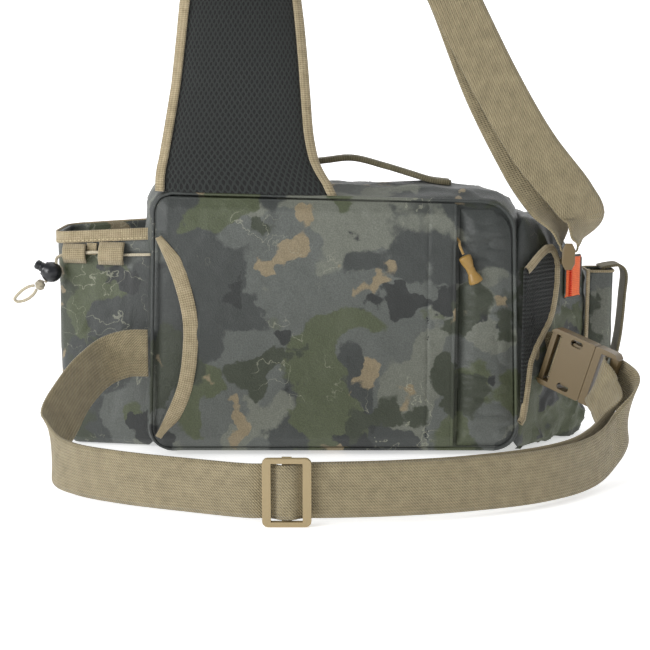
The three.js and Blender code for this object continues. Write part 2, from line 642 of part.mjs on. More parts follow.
piece('strap_front_layer', webbing(frontLayer), looks.webbing);

const backLayer = [
  { at: buckleAt(0, -0.3, topBar - 4.9), across: barAcross },
  { at: buckleAt(0, -6, topBar - 4), across: barAcross },
  { at: buckleAt(0, -6.9, topBar + 0.5), across: barAcross },
  { at: [189.6, 24, 191.6], across: [0.5, 0.84, 0.02] },
  { at: [180, 27.4, 208.5], across: [0.82, 0.56, 0.12] },
  { at: [160, 28.6, 243], across: [0.88, 0.15, 0.44] },
  { at: [128, 28, 304.5], across: slopeAcross },
  { at: slidePoint(30, 5.4), across: slopeAcross },
  { at: slidePoint(13, 3.5), across: slopeAcross },
  { at: slidePoint(3, 1.8), across: slopeAcross },
];
piece('strap_back_layer', webbing(backLayer), looks.webbing);

// Shoulder pad: width along X at its foot, turned to run along Y over the shoulder
const padRows = [
  { x: -72.5, y: 7.5, z: 225, half: 75, turn: 0 },
  { x: -76.4, y: 7, z: 239, half: 69.5, turn: 0 },
  { x: -77.8, y: 7, z: 250, half: 65.6, turn: 0 },
  { x: -78, y: 7, z: 270, half: 61.5, turn: 0 },
  { x: -76, y: 7, z: 309.5, half: 56.2, turn: 0 },
  { x: -75, y: 7.5, z: 350, half: 52, turn: 6 },
  { x: -74.5, y: 8.5, z: 395, half: 48, turn: 20 },
  { x: -73, y: 10, z: 435, half: 45, turn: 38 },
  { x: -69, y: 12, z: 475, half: 42.5, turn: 57 },
  { x: -60, y: 13.5, z: 508, half: 41, turn: 73 },
  { x: -42, y: 14.6, z: 537, half: 40, turn: 84 },
  { x: rest[0], y: rest[1], z: rest[2] + pad.thickness / 2, half: 40, turn: 90 },
  { x: 9, y: 16.5, z: 539, half: 38, turn: 82 },
  { x: 25, y: 18.5, z: 516, half: 34, turn: 66 },
];
const padStations = padRows.map(({ x, y, z, half, turn }) => {
  const angle = THREE.MathUtils.degToRad(turn);
  return { at: [x, y, z], across: [Math.cos(angle), Math.sin(angle), turn === 0 ? -0.025 : 0], half, level: turn === 0 };
});

// Crowned section: shares of the half width and of the half thickness
const padSection = [
  { across: -1, thick: 0.5 }, { across: -0.9, thick: 0.85 }, { across: -0.45, thick: 1 },
  { across: 0.45, thick: 1 }, { across: 0.9, thick: 0.85 }, { across: 1, thick: 0.5 },
];
const padSteps = 2;
const padRing = (half) => {
  const inner = half - pad.tape - GAP - 0.2;
  const upper = padSection.map(({ across, thick }) => [across * inner, (thick * pad.thickness) / 2]);
  return [...upper, ...upper.map(([a, n]) => [a, -n]).reverse()];
};
piece('shoulder_pad', loft(stripRings(padStations, padSteps, padRing)), looks.mesh);
for (const [name, side] of [['pad_binding_left', -1], ['pad_binding_right', 1]]) {
  const halfTape = pad.tapeThickness / 2;
  const section = (half) => rectangle(side * (half - pad.tape), side * half, -halfTape, halfTape);
  piece(name, loft(stripRings(padStations, padSteps, section)), looks.tape);
}

// Waist belt: the outer layer runs round the front, the inner one doubles it on the right

const clipAlong = new THREE.Vector3(0.75, -0.6, -0.28).normalize();
const clipUp = new THREE.Vector3(0.25, -0.12, 0.96);
clipUp.addScaledVector(clipAlong, -clipUp.dot(clipAlong)).normalize();
const clipFront = clipAlong.clone().cross(clipUp).normalize();
const clipRoot = new THREE.Vector3(180.9, 16.5, 85.5);
const clipAt = (a, n) => clipRoot.clone().addScaledVector(clipAlong, a).addScaledVector(clipFront, n).toArray();
const clipAcross = clipUp.toArray();
const upright = [0, 0, 1];

const beltFoot = (slider.height - WEBBING_WIDTH) / 2;
const beltZ = beltFoot + WEBBING_WIDTH / 2;
const sliderX = -34.5;
const sliderY = -181;
const beltPoint = (along, back) => [sliderX + along, sliderY + back, beltZ];
const beltOuter = [
  { at: [seamX(88.5, -1) - 0.7, 3.4, 88.5], across: upright },
  { at: [-172, 1, 88.5], across: upright },
  { at: [-188, -5, 84], across: [-0.05, 0.05, 1] },
  { at: [-203, -25, 73], across: [-0.1, 0.15, 0.98] },
  { at: [-214, -50, 57], across: [-0.15, 0.3, 0.94] },
  { at: [-221, -77, 37], across: [-0.15, 0.35, 0.92] },
  { at: [-214, -104, 27], across: [-0.05, 0.2, 0.98] },
  { at: [-196, -124, beltZ], across: upright },
  { at: [-160, -146, beltZ], across: upright },
  { at: [-105, -167, beltZ], across: upright },
  ...threaded(beltPoint, upright),
  { at: [40, -177, beltZ], across: upright },
  { at: [95, -166, beltZ], across: upright },
  { at: [158, -141, beltZ], across: upright },
  { at: [200, -104, beltZ + 1], across: [0.05, 0.1, 0.98] },
  { at: [222, -74, 35], across: [0.12, 0.25, 0.96] },
  { at: [235.4, -53.5, 50.6], across: [0.22, 0.2, 0.95] },
  { at: [239.6, -35.5, 61.4], across: clipAcross },
  { at: clipAt(clip.male + 3, -5.5), across: clipAcross },
  { at: clipAt(clip.male - 4, -7.6), across: clipAcross },
  { at: clipAt(clip.male - 9.8, -4.6), across: clipAcross },
];
piece('waist_belt_outer', webbing(beltOuter, WEBBING_WIDTH, WEBBING, 2), looks.webbing);

const beltInner = [
  { at: clipAt(clip.male - 11.5, 0), across: clipAcross },
  { at: clipAt(clip.male - 10.8, 8), across: clipAcross },
  { at: [219.4, -35.5, 60.5], across: [0.25, 0, 0.96] },
  { at: [221.4, -55, 46.4], across: [0.2, 0.2, 0.96] },
  { at: [210, -76, 33], across: [0.1, 0.2, 0.97] },
  { at: [188, -104, beltZ + 1], across: upright },
  { at: [154, -134, beltZ], across: upright },
  { at: [93, -161, beltZ], across: upright },
  { at: [40, -172.5, beltZ], across: upright },
  { at: beltPoint(26, 4), across: upright },
  { at: beltPoint(13, 3.2), across: upright },
  { at: beltPoint(3, 1.6), across: upright },
];
piece('waist_belt_inner', webbing(beltInner, WEBBING_WIDTH, WEBBING, 2), looks.webbing);

const sliderAxes = [new THREE.Vector3(1, 0, 0), new THREE.Vector3(0, 0, 1), new THREE.Vector3(0, -1, 0)];
place(piece('belt_slider', threadedSlider(), looks.plastic), beltPoint(0, -sliderSeat), sliderAxes);

// Side release buckle, fastened: length along x, width along y
const halfClip = clip.width / 2;
const halfThick = clip.thickness / 2;
const railWidth = 4.2;
const prongSpace = { start: 16, half: 19.6, thick: 3.7 };
const sideWindow = { start: 20, end: 31, low: 16.6, high: 22.4 };

function plateXY(points, n0, n1) {
  const shape = new THREE.Shape(points.map(([x, y]) => new THREE.Vector2(x, y)));
  return new THREE.ExtrudeGeometry(shape, { depth: n1 - n0, bevelEnabled: false }).translate(0, 0, n0);
}

function femaleClip() {
  const outline = roundedOutline([[0, halfClip, 5], [0, -halfClip, 5], [clip.female, -halfClip, 2],
    [clip.female, halfClip, 2]], 0, 3);
  const cavity = box([prongSpace.start, -prongSpace.half, -prongSpace.thick],
    [clip.female + 1, prongSpace.half, prongSpace.thick]);
  const slot = box([clip.bar, -halfClip + railWidth, -halfThick - 1],
    [clip.bar + clip.slot, halfClip - railWidth, halfThick + 1]);
  const thin = [[-halfThick - 1, -2.6], [2.6, halfThick + 1]]
    .map(([n0, n1]) => box([-1, -halfClip + railWidth, n0], [clip.bar + 1, halfClip - railWidth, n1]));
  const windows = [-1, 1].map((side) => plateXY(roundedOutline([
    [sideWindow.start, side * sideWindow.high, 2.6], [sideWindow.start, side * sideWindow.low, 2.6],
    [sideWindow.end, side * sideWindow.low, 2.6], [sideWindow.end, side * sideWindow.high, 2.6],
  ], 0, 3), -halfThick - 1, halfThick + 1));
  return cut(plateXY(outline, -halfThick, halfThick), cavity, slot, ...thin, ...windows);
}

function maleClip() {
  const root = clip.female + GAP;
  const ring = plateXY(roundedOutline([[root, halfClip, 1.5], [root, -halfClip, 1.5], [clip.male, -halfClip, 6],
    [clip.male, halfClip, 6]], 0, 3), -halfThick, halfThick);
  const slot = box([root + clip.shoulder, -halfClip + railWidth, -halfThick - 1],
    [root + clip.shoulder + clip.maleSlot, halfClip - railWidth, halfThick + 1]);
  const thin = [[-halfThick - 1, -3.6], [3.6, halfThick + 1]]
    .map(([n0, n1]) => box([root + clip.shoulder + clip.maleSlot - 0.5, -halfClip + railWidth, n0],
      [clip.male + 1, halfClip - railWidth, n1]));
  const tongue = box([prongSpace.start + 3, -3.5, -3.2], [root + 1, 3.5, 3.2]);
  const arms = [-1, 1].map((side) => plateXY([[root + 1, side * 16], [34, side * 15.5], [31, side * 18.8],
    [21.5, side * 18.8], [19, side * 14], [19, side * 10.5], [root + 1, side * 10.5]], -3.2, 3.2));
  return join(cut(ring, slot, ...thin), tongue, ...arms);
}

const clipAxes = [clipAlong, clipUp, clipFront];
place(piece('belt_buckle_female', femaleClip(), looks.plastic), clipRoot.toArray(), clipAxes);
place(piece('belt_buckle_male', maleClip(), looks.plastic), clipRoot.toArray(), clipAxes);

const clipLoop = [
  { at: onFace(2, 1.4, 87).toArray(), across: [0.12, 0.12, 0.98] },
  { at: onFace(12, 1.4, 85.2).toArray(), across: [0.12, 0.12, 0.98] },
  { at: onFace(20, 1.4, 83.2).toArray(), across: [0.12, 0.12, 0.98] },
  { at: [180.3, 27, 81.8], across: [0.12, 0.12, 0.97] },
  { at: [185.5, 24.6, 82.6], across: clipAcross },
  { at: clipAt(5.2, -5.2), across: clipAcross },
  { at: clipAt(7.6, -3), across: clipAcross },
  { at: clipAt(7.8, 0), across: clipAcross },
];
piece('buckle_webbing_loop', webbing(clipLoop, WEBBING_WIDTH, 1.8, 3), looks.webbing);

// Left bottle pocket with its hem, tabs and drawcord
const bottlePlan = [
  [-238, 112, 14],
  [-237, 38, 16],
  [-152, 24, 2],
  [-152, 114, 2],
];
const bottleRows = [
  { height: 0, drawn: 8 },
  { height: 0.035, drawn: 2 },
  { height: 0.12, drawn: 0 },
  { height: 1, drawn: 0 },
];
const bottleTop = (x) => bottle.top + (x + 200) * 0.06;

function bottleForm(grow, low, high) {
  return loft(bottleRows.map(({ height, drawn }) => roundedOutline(bottlePlan, grow - drawn, 4)
    .map(([x, y]) => new THREE.Vector3(x, y, lerp(low, bottleTop(x) + high, height)))));
}
const besideBody = GAP + 0.1;
const beforeSeam = box([-170, -5, -5], [-140, 24, body.height + 10]);
piece('left_pocket', cut(bottleForm(0, 1, 0), bodyForm(besideBody), beforeSeam,
  cut(bottleForm(-bottle.wall, 1 + bottle.wall, 3), bodyForm(besideBody + bottle.wall))), looks.camo);

// Hem folded over the mouth, outside the pocket's wall
function hemBand() {
  const ring = (grow, lift) => roundedOutline(bottlePlan, grow, 4)
    .map(([x, y]) => new THREE.Vector3(x, y, bottleTop(x) + lift));
  const outer = loft([ring(GAP + bottle.hemThickness, -bottle.hem), ring(GAP + bottle.hemThickness, 1.2)]);
  const inner = loft([ring(GAP, -bottle.hem - 2), ring(GAP, 4)]);
  return cut(outer, inner, bodyForm(besideBody), box([-175, 20, 100], [-140, 130, 260]));
}
piece('pocket_hem', hemBand(), looks.tape);

// The pocket's front wall runs between two corners of its plan
const frontWallY = (x) => lerp(bottlePlan[1][1], bottlePlan[2][1], (x - bottlePlan[1][0]) / 85);
const tabThickness = 1.4;
const tabAcross = [0.986, -0.165, 0];
const tabSeat = tabThickness / 2 + GAP + 0.4;
const tabs = [
  { name: 'pocket_tab_left', x: -219.8, low: -219.8, foot: 161, width: 20, stand: 6.4 },
  { name: 'pocket_tab_middle', x: -204.5, low: -205.5, foot: 168, width: 9, stand: 0 },
  { name: 'pocket_tab_right', x: -187, low: -188.5, foot: 160, width: 22, stand: 6.4 },
];
for (const { name, x, low, foot, width, stand } of tabs) {
  const shares = [{ down: 0, out: 0 }, { down: 0.3, out: 0.9 }, { down: 0.7, out: 0.9 }, { down: 1, out: 0 }];
  const stations = shares.map(({ down, out }) => {
    const tabX = lerp(x, low, down);
    const top = bottleTop(x) - bottle.hem - width * 0.03 - 0.45;
    return { at: [tabX, frontWallY(tabX) - tabSeat - out * stand, lerp(top, foot, down)],
      across: tabAcross, level: true };
  });
  piece(name, webbing(stations, width, tabThickness, 3), looks.tape);
}

// Drawcord held between the tabs and the wall, then free through the lock to its knot and loop
const cordLine = [
  [-159.2, 22.8, 169.1],
  [-163.4, 23.5, 168.9],
  [-167.6, 24.2, 168.8],
  [-174, 25.2, 168.6],
  [-181, 26.2, 168.4],
  [-188, 27.2, 168.8],
  [-195, 27.6, 170],
  [-201, 27.5, 170.6],
  [-208, 28.6, 170.2],
  [-215, 31.3, 169.4],
  [-222, 32.8, 168.6],
  [-229, 33.2, 167.8],
  [-233.2, 32.4, 166.4],
];
piece('drawcord', roundCord(cordLine), looks.cord);

const lockCentre = new THREE.Vector3(-239.5, 29.4, 153.4);
const lockAxis = new THREE.Vector3(-0.87, 0, 0.49).normalize();
const cordThrough = new THREE.Vector3(0.49, 0, 0.87).normalize();
const tailLine = [
  [-233.95, 32.2, 166.1],
  [-234.9, 31.8, 165.1],
  [-235.3, 30.4, 163.2],
  lockCentre.clone().addScaledVector(cordThrough, 8.5).toArray(),
  lockCentre.clone().addScaledVector(cordThrough, 3).toArray(),
  lockCentre.clone().addScaledVector(cordThrough, -3).toArray(),
  lockCentre.clone().addScaledVector(cordThrough, -7.5).toArray(),
  [-245.3, 28.9, 144.6],
];
piece('drawcord_tail', roundCord(tailLine, cord.radius, 3), looks.cord);

function lockBarrel() {
  const profile = [new THREE.Vector2(0, -lock.ball * 0.97)];
  for (let i = 1; i < 9; i += 1) {
    const angle = -Math.PI / 2 + (i / 9) * 2.62;
    profile.push(new THREE.Vector2(lock.ball * Math.cos(angle), lock.ball * 0.97 * Math.sin(angle)));
  }
  profile.push(new THREE.Vector2(lock.bore + 1.6, lock.ball * 0.82), new THREE.Vector2(0, lock.ball * 0.82));
  const ball = new THREE.LatheGeometry(profile, 16);
  const bore = new THREE.CylinderGeometry(lock.bore, lock.bore, lock.ball * 2, 16).translate(0, lock.ball * 0.45, 0);
  const cross = new THREE.CylinderGeometry(lock.crossHole, lock.crossHole, lock.ball * 3, 10).rotateZ(Math.PI / 2);
  return cut(ball, bore, cross);
}

// The button slides in the bore; its cross hole is a slot as long as its stroke
function lockButton() {
  const low = -lock.ball * 0.55 + lock.stroke + 0.5;
  const high = low + lock.buttonLength;
  const profile = [[0, low], [lock.button, low], [lock.button, high - 5], [lock.button * 0.88, high - 4.4],
    [lock.button, high - 3.8], [lock.button, high - 1.2], [lock.button - 1.2, high], [0, high]];
  const stem = new THREE.LatheGeometry(profile.map(([r, y]) => new THREE.Vector2(r, y)), 14);
  const slot = box([-lock.ball, -lock.crossHole, -lock.crossHole],
    [lock.ball, lock.stroke + lock.crossHole, lock.crossHole]);
  return cut(stem, slot);
}
const lockAxes = [cordThrough, lockAxis, cordThrough.clone().cross(lockAxis)];
place(piece('cord_lock_barrel', lockBarrel(), looks.lock), lockCentre.toArray(), lockAxes);
place(piece('cord_lock_button', lockButton(), looks.lock), lockCentre.toArray(), lockAxes);

const knotCentre = [-249.2, 28.2, 142.6];
const knot = new THREE.SphereGeometry(4, 10, 7).scale(1, 0.9, 1.05).translate(...knotCentre);
piece('drawcord_knot', knot, looks.cord);
const loopLine = [
  [-253.55, 27.9, 142.2],
  [-259, 27, 141.2],
  [-264.4, 26.4, 138],
  [-269, 26, 133.6],
  [-270.8, 25.8, 130.6],
  [-269, 25.8, 128.8],
  [-265, 25.9, 128.9],
  [-259.4, 26.2, 131],
  [-254.6, 26.9, 135],
  [-252.05, 27.6, 139.2],
];
piece('drawcord_loop', roundCord(loopLine, cord.radius, 2), looks.cord);

// The whole bag hangs from the inner side of the strap arch
const model = new THREE.Group();
bag.position.set(-rest[0], -rest[1], -rest[2]);
model.add(bag);

export default model;
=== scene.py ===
import math
import json

import bpy
import numpy as np
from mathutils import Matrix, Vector, noise

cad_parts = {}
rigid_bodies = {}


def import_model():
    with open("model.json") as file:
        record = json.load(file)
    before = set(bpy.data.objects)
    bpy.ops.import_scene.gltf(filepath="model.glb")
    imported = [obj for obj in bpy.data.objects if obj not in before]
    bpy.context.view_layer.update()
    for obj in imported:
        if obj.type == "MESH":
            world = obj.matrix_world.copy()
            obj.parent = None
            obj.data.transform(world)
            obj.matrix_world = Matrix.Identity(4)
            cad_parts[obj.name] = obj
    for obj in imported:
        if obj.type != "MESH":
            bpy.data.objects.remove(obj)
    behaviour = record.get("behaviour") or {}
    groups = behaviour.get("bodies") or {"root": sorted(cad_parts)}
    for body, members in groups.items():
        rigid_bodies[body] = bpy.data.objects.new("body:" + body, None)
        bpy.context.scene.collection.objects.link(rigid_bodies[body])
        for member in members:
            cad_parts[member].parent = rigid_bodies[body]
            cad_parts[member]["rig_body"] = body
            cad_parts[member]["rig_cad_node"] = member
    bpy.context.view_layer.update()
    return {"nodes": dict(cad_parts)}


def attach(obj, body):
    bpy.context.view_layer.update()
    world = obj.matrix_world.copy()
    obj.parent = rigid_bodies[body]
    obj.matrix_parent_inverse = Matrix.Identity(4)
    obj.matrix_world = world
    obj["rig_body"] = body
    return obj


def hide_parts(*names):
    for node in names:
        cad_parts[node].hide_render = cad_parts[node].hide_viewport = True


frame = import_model()

# The bag is laid out in millimetres, standing on z = 0; REST is where the strap arch hangs
REST = Vector((-15, 15, 544))
WEBBING_WIDTH = 40
WEBBING = 1.6
BAG = "bag"


def lerp(a, b, t):
    return a + (b - a) * t


def smooth(t):
    t = min(max(t, 0.0), 1.0)
    return t * t * (3 - 2 * t)


def metres(point):
    return (Vector(point) - REST) * 0.001


# Cloth that stands on the floor keeps this far above it
LOWEST = metres((0, 0, 0.3)).z


# Camera at the photograph's viewing angle
camera_data = bpy.data.cameras.new("camera")
camera_data.lens = 74.33
camera_data.sensor_width = 36
camera = bpy.data.objects.new("camera", camera_data)
camera.location = (0.0076, -1.115, -0.2385)
camera.rotation_euler = (math.radians(90 - 9.93), 0, 0)
bpy.context.scene.collection.objects.link(camera)
bpy.context.scene.camera = camera


# Materials
class Finish:
    """A material with short calls for its nodes."""

    def __init__(self, name, colour, roughness=0.6):
        self.material = bpy.data.materials.new(name)
        self.material.use_nodes = True
        self.tree = self.material.node_tree
        self.shader = self.tree.nodes["Principled BSDF"]
        self.shader.inputs["Base Color"].default_value = rgb(colour)
        self.shader.inputs["Roughness"].default_value = roughness
        self.place = self.tree.nodes.new("ShaderNodeTexCoord")

    def node(self, kind, settings=None, **inputs):
        made = self.tree.nodes.new(kind)
        for key, value in (settings or {}).items():
            setattr(made, key, value)
        for key, value in inputs.items():
            socket = made.inputs[int(key[1:])] if key[0] == "i" and key[1:].isdigit() else made.inputs[key]
            if isinstance(value, bpy.types.NodeSocket):
                self.tree.links.new(value, socket)
            else:
                socket.default_value = value
        return made

    def math(self, operation, a, b=0.0):
        return self.node("ShaderNodeMath", {"operation": operation}, i0=a, i1=b).outputs[0]

    def mix(self, share, first, second):
        made = self.node("ShaderNodeMix", {"data_type": "RGBA"}, Factor=share)
        for socket, value in ((made.inputs[6], first), (made.inputs[7], second)):
            if isinstance(value, bpy.types.NodeSocket):
                self.tree.links.new(value, socket)
            else:
                socket.default_value = value
        return made.outputs[2]

    def step(self, value, low, high):
        made = self.node("ShaderNodeMapRange", {"interpolation_type": "SMOOTHSTEP"})
        self.tree.links.new(value, made.inputs["Value"])
        made.inputs["From Min"].default_value = low
        made.inputs["From Max"].default_value = high
        return made.outputs["Result"]

    def noise(self, at, scale, detail=3.0, roughness=0.55):
        return self.node("ShaderNodeTexNoise", None, Vector=at, Scale=scale, Detail=detail,
                         Roughness=roughness).outputs["Fac"]

    def shifted(self, at, by):
        return self.node("ShaderNodeVectorMath", {"operation": "ADD"}, i0=at, i1=by).outputs[0]

    def colour(self, socket):
        self.tree.links.new(socket, self.shader.inputs["Base Color"])

    def relief(self, height, strength, distance=0.001):
        bump = self.node("ShaderNodeBump", None, Height=height, Strength=strength, Distance=distance)
        self.tree.links.new(bump.outputs[0], self.shader.inputs["Normal"])

    def along_across(self):
        split = self.node("ShaderNodeSeparateXYZ", None, Vector=self.place.outputs["UV"])
        return split.outputs[0], split.outputs[1]

    def wave(self, value, pitch):
        return self.math("SINE", self.math("MULTIPLY", value, 2 * math.pi / pitch))


def rgb(text):
    channels = [int(text[i:i + 2], 16) / 255 for i in (1, 3, 5)]
    return [c / 12.92 if c <= 0.04045 else ((c + 0.055) / 1.055) ** 2.4 for c in channels] + [1.0]


# Camouflage cloth: slate ground with ragged patches laid over it, each from its own noise
CAMO_GROUND, CAMO_LINES = "#575B57", "#A5A692"
PATCH_EDGE, RAGGED_REACH = 0.016, 0.017
CAMO_PATCHES = [
    {"colour": "#6A6D63", "scale": 12, "low": 0.525, "shift": 3.1},
    {"colour": "#393D3B", "scale": 9, "low": 0.505, "shift": 9.7},
    {"colour": "#4B523A", "scale": 11, "low": 0.575, "shift": 17.3},
    {"colour": "#292C2B", "scale": 19, "low": 0.625, "shift": 41.8},
    {"colour": "#363C2E", "scale": 14, "low": 0.58, "shift": 23.9},
    {"colour": "#86795F", "scale": 18, "low": 0.64, "shift": 31.2},
]


def camo_cloth():
    cloth = Finish("camo_cloth", CAMO_GROUND, 0.5)
    at = cloth.place.outputs["Object"]
    ragged = cloth.node("ShaderNodeTexNoise", None, Vector=at, Scale=85.0, Detail=4.0).outputs["Color"]
    pulled = cloth.node("ShaderNodeVectorMath", {"operation": "SCALE"}, i0=ragged)
    pulled.inputs["Scale"].default_value = RAGGED_REACH
    warped = cloth.shifted(at, pulled.outputs[0])
    ground = rgb(CAMO_GROUND)
    for patch in CAMO_PATCHES:
        moved = cloth.shifted(warped, (patch["shift"], patch["shift"] * 0.7, patch["shift"] * 1.3))
        height = cloth.noise(moved, patch["scale"], 2.0, 0.5)
        covered = cloth.step(height, patch["low"], patch["low"] + PATCH_EDGE)
        ground = cloth.mix(covered, ground, rgb(patch["colour"]))
    lines = cloth.noise(warped, 38.0, 2.0, 0.5)
    band = cloth.math("ABSOLUTE", cloth.math("SUBTRACT", lines, 0.47))
    thin = cloth.math("SUBTRACT", 1.0, cloth.step(band, 0.003, 0.009))
    some = cloth.step(cloth.noise(at, 9.0, 1.0), 0.5, 0.6)
    drawn = cloth.math("MULTIPLY", cloth.math("MULTIPLY", thin, some), 0.45)
    ground = cloth.mix(drawn, ground, rgb(CAMO_LINES))
    speckle = cloth.noise(at, 900.0, 2.0)
    shade = cloth.mix(cloth.step(speckle, 0.35, 0.7), rgb("#8C8C8C"), rgb("#FFFFFF"))
    tinted = cloth.node("ShaderNodeMix", {"data_type": "RGBA", "blend_type": "MULTIPLY"}, Factor=0.35)
    cloth.tree.links.new(ground, tinted.inputs[6])
    cloth.tree.links.new(shade, tinted.inputs[7])
    cloth.colour(tinted.outputs[2])
    uneven = cloth.math("MULTIPLY", cloth.noise(at, 60.0, 3.0), 3.0)
    cloth.relief(cloth.math("ADD", speckle, uneven), 0.35, 0.0012)
    cloth.shader.inputs["Sheen Weight"].default_value = 0.05
    return cloth.material


def woven(name, colour, dark, rib, slant, strength=0.5):
    """Webbing or tape: ribs along its length, crossed by a slanted weave."""
    cloth = Finish(name, colour, 0.85)
    along, across = cloth.along_across()
    twill = cloth.wave(cloth.math("ADD", along, cloth.math("MULTIPLY", across, slant)), rib)
    rows = cloth.wave(across, rib * 1.15)
    weave = cloth.math("ADD", twill, cloth.math("MULTIPLY", rows, 0.6))
    worn = cloth.noise(cloth.place.outputs["Object"], 140.0, 4.0)
    share = cloth.math("ADD", cloth.math("MULTIPLY", weave, 0.22), cloth.math("ADD", worn, 0.1))
    cloth.colour(cloth.mix(share, rgb(dark), rgb(colour)))
    cloth.relief(weave, strength, 0.0004)
    cloth.shader.inputs["Sheen Weight"].default_value = 0.2
    return cloth.material


def open_mesh(name, hole_shade, thread, pitch, ribs=0.0):
    """Dark spacer mesh with oval holes in diagonal rows, and level ribs of a given pitch; the holes are
    painted near black as painted shade in their hollows.
    """
    cloth = Finish(name, thread, 0.8)
    along, across = cloth.along_across()
    along = cloth.math("MULTIPLY", along, 0.72)
    one = cloth.wave(cloth.math("ADD", along, across), pitch)
    two = cloth.wave(cloth.math("SUBTRACT", along, across), pitch)
    net = cloth.math("MULTIPLY", one, two)
    holes = cloth.step(cloth.math("ABSOLUTE", net), 0.25, 0.6)
    fine = cloth.noise(cloth.place.outputs["Object"], 1500.0, 2.0)
    # The holes take a near-black colour: painted shade in the hollows between the threads
    cloth.colour(cloth.mix(holes, rgb(thread), rgb(hole_shade)))
    height = cloth.math("SUBTRACT", cloth.math("MULTIPLY", fine, 0.3), holes)
    if ribs:
        level = cloth.node("ShaderNodeSeparateXYZ", None, Vector=cloth.place.outputs["Object"]).outputs[2]
        height = cloth.math("ADD", height, cloth.math("MULTIPLY", cloth.wave(level, ribs), 0.8))
    cloth.relief(height, 0.8, 0.0009)
    cloth.shader.inputs["Sheen Weight"].default_value = 0.1
    return cloth.material


def moulded(name, colour, roughness, grain=0.12):
    plastic = Finish(name, colour, roughness)
    fine = plastic.noise(plastic.place.outputs["Object"], 900.0, 2.0)
    plastic.relief(fine, grain, 0.0003)
    return plastic.material


CAMO = camo_cloth()
STRAP = woven("tan_webbing", "#A19474", "#6A6047", 0.0021, 0.9, 0.8)
TAPE = woven("tan_tape", "#B0A183", "#746849", 0.0016, 0.0, 0.6)
OLIVE = woven("olive_webbing", "#7B7359", "#48432F", 0.002, 0.5, 0.6)
DARK = woven("dark_tape", "#343938", "#1B1E1E", 0.0018, 0.2, 0.5)
# The hole colours of both meshes are near black: painted shade in the mesh's hollows
PAD_MESH = open_mesh("pad_mesh", "#020303", "#1F2422", 0.0098)
WING_MESH = open_mesh("wing_mesh", "#030404", "#1B201E", 0.0064, 0.0034)
CORD = woven("cream_cord", "#EBE0C6", "#B8AB8C", 0.0012, 1.0, 0.8)
PULL_CORD = woven("pull_cord", "#C09A58", "#7C6236", 0.0009, 1.0, 0.5)
# One tan plastic in two copies: the darker one is painted shade for the buckles, the paler one is painted
# highlight for the sliders
SHADED_TAN_PLASTIC = moulded("tan_plastic", "#6B5B3E", 0.36)
LIT_TAN_PLASTIC = moulded("tan_plastic_painted_highlight", "#9C8A66", 0.4)
GRIP = moulded("golden_grip", "#917239", 0.33)
LOCK = moulded("black_lock", "#14161A", 0.28, 0.05)
ZIP_TAPE = woven("orange_tape", "#FF7A3C", "#D9561F", 0.0014, 0.0, 0.5)
ZIP_TEETH = moulded("red_teeth", "#E5351C", 0.4)
THREAD = Finish("tan_thread", "#CDBF9C", 0.8).material
DARK_THREAD = Finish("dark_thread", "#23282A", 0.8).material
METAL = moulded("dark_slider", "#8A7148", 0.35)


# Forms
def only(piece):
    bpy.ops.object.select_all(action="DESELECT")
    piece.select_set(True)
    bpy.context.view_layer.objects.active = piece


def dress(piece, material, nodes=(), body=BAG):
    piece.data.materials.clear()
    piece.data.materials.append(material)
    if nodes:
        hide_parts(*nodes)
    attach(piece, body)
    return piece


def shaped_grid(name, cells, form, span=(1.0, 1.0), closed=False):
    """A grid primitive whose corners are moved to form(u, v), in millimetres.

    span scales its UV map to metres, and closed joins the corners that meet.
    """
    bpy.ops.object.select_all(action="DESELECT")
    bpy.ops.mesh.primitive_grid_add(x_subdivisions=cells[0], y_subdivisions=cells[1], size=1)
    piece = bpy.context.object
    piece.name = name
    mesh = piece.data
    mesh.name = name
    flat = np.empty(len(mesh.vertices) * 3)
    mesh.vertices.foreach_get("co", flat)
    flat = flat.reshape(-1, 3)
    for vertex, (x, y, _) in zip(mesh.vertices, flat):
        vertex.co = metres(form(min(max(x + 0.5, 0), 1), min(max(y + 0.5, 0), 1)))
    layer = mesh.uv_layers.active.data
    for loop in layer:
        loop.uv = (loop.uv[0] * span[0], loop.uv[1] * span[1])
    if closed:
        close_up(piece)
    bpy.ops.object.shade_smooth()
    return piece


def close_up(piece, gap=2e-5):
    only(piece)
    bpy.ops.object.mode_set(mode="EDIT")
    bpy.ops.mesh.select_all(action="SELECT")
    bpy.ops.mesh.remove_doubles(threshold=gap)
    bpy.ops.mesh.normals_make_consistent(inside=False)
    bpy.ops.object.mode_set(mode="OBJECT")


def finish_with(piece, kind, **settings):
    only(piece)
    modifier = piece.modifiers.new(kind.lower(), kind)
    for key, value in settings.items():
        setattr(modifier, key, value)
    bpy.ops.object.modifier_apply(modifier=modifier.name)
    return piece


def walls(piece, thickness, offset=0.0):
    return finish_with(piece, "SOLIDIFY", thickness=thickness * 0.001, offset=offset)


def crumple(piece, amount, size, share=lambda p: 1.0, stretch=(1, 1, 1)):
    """Soft folds: the surface moves along its normals by layered ridges, in millimetres."""
    normals = [v.normal.copy() for v in piece.data.vertices]
    for vertex, normal in zip(piece.data.vertices, normals):
        at = Vector([c * s for c, s in zip(vertex.co, stretch)]) * (1000 / size)
        swell = noise.fractal(at, 0.9, 2.1, 3)
        crease = 1 - abs(noise.noise(at * 1.7 + Vector((5, 3, 9)))) * 2
        here = share(vertex.co * 1000 + REST)
        vertex.co += normal * (0.001 * amount * here * (swell + 0.7 * max(crease, 0) ** 3 - 0.2))
    return piece


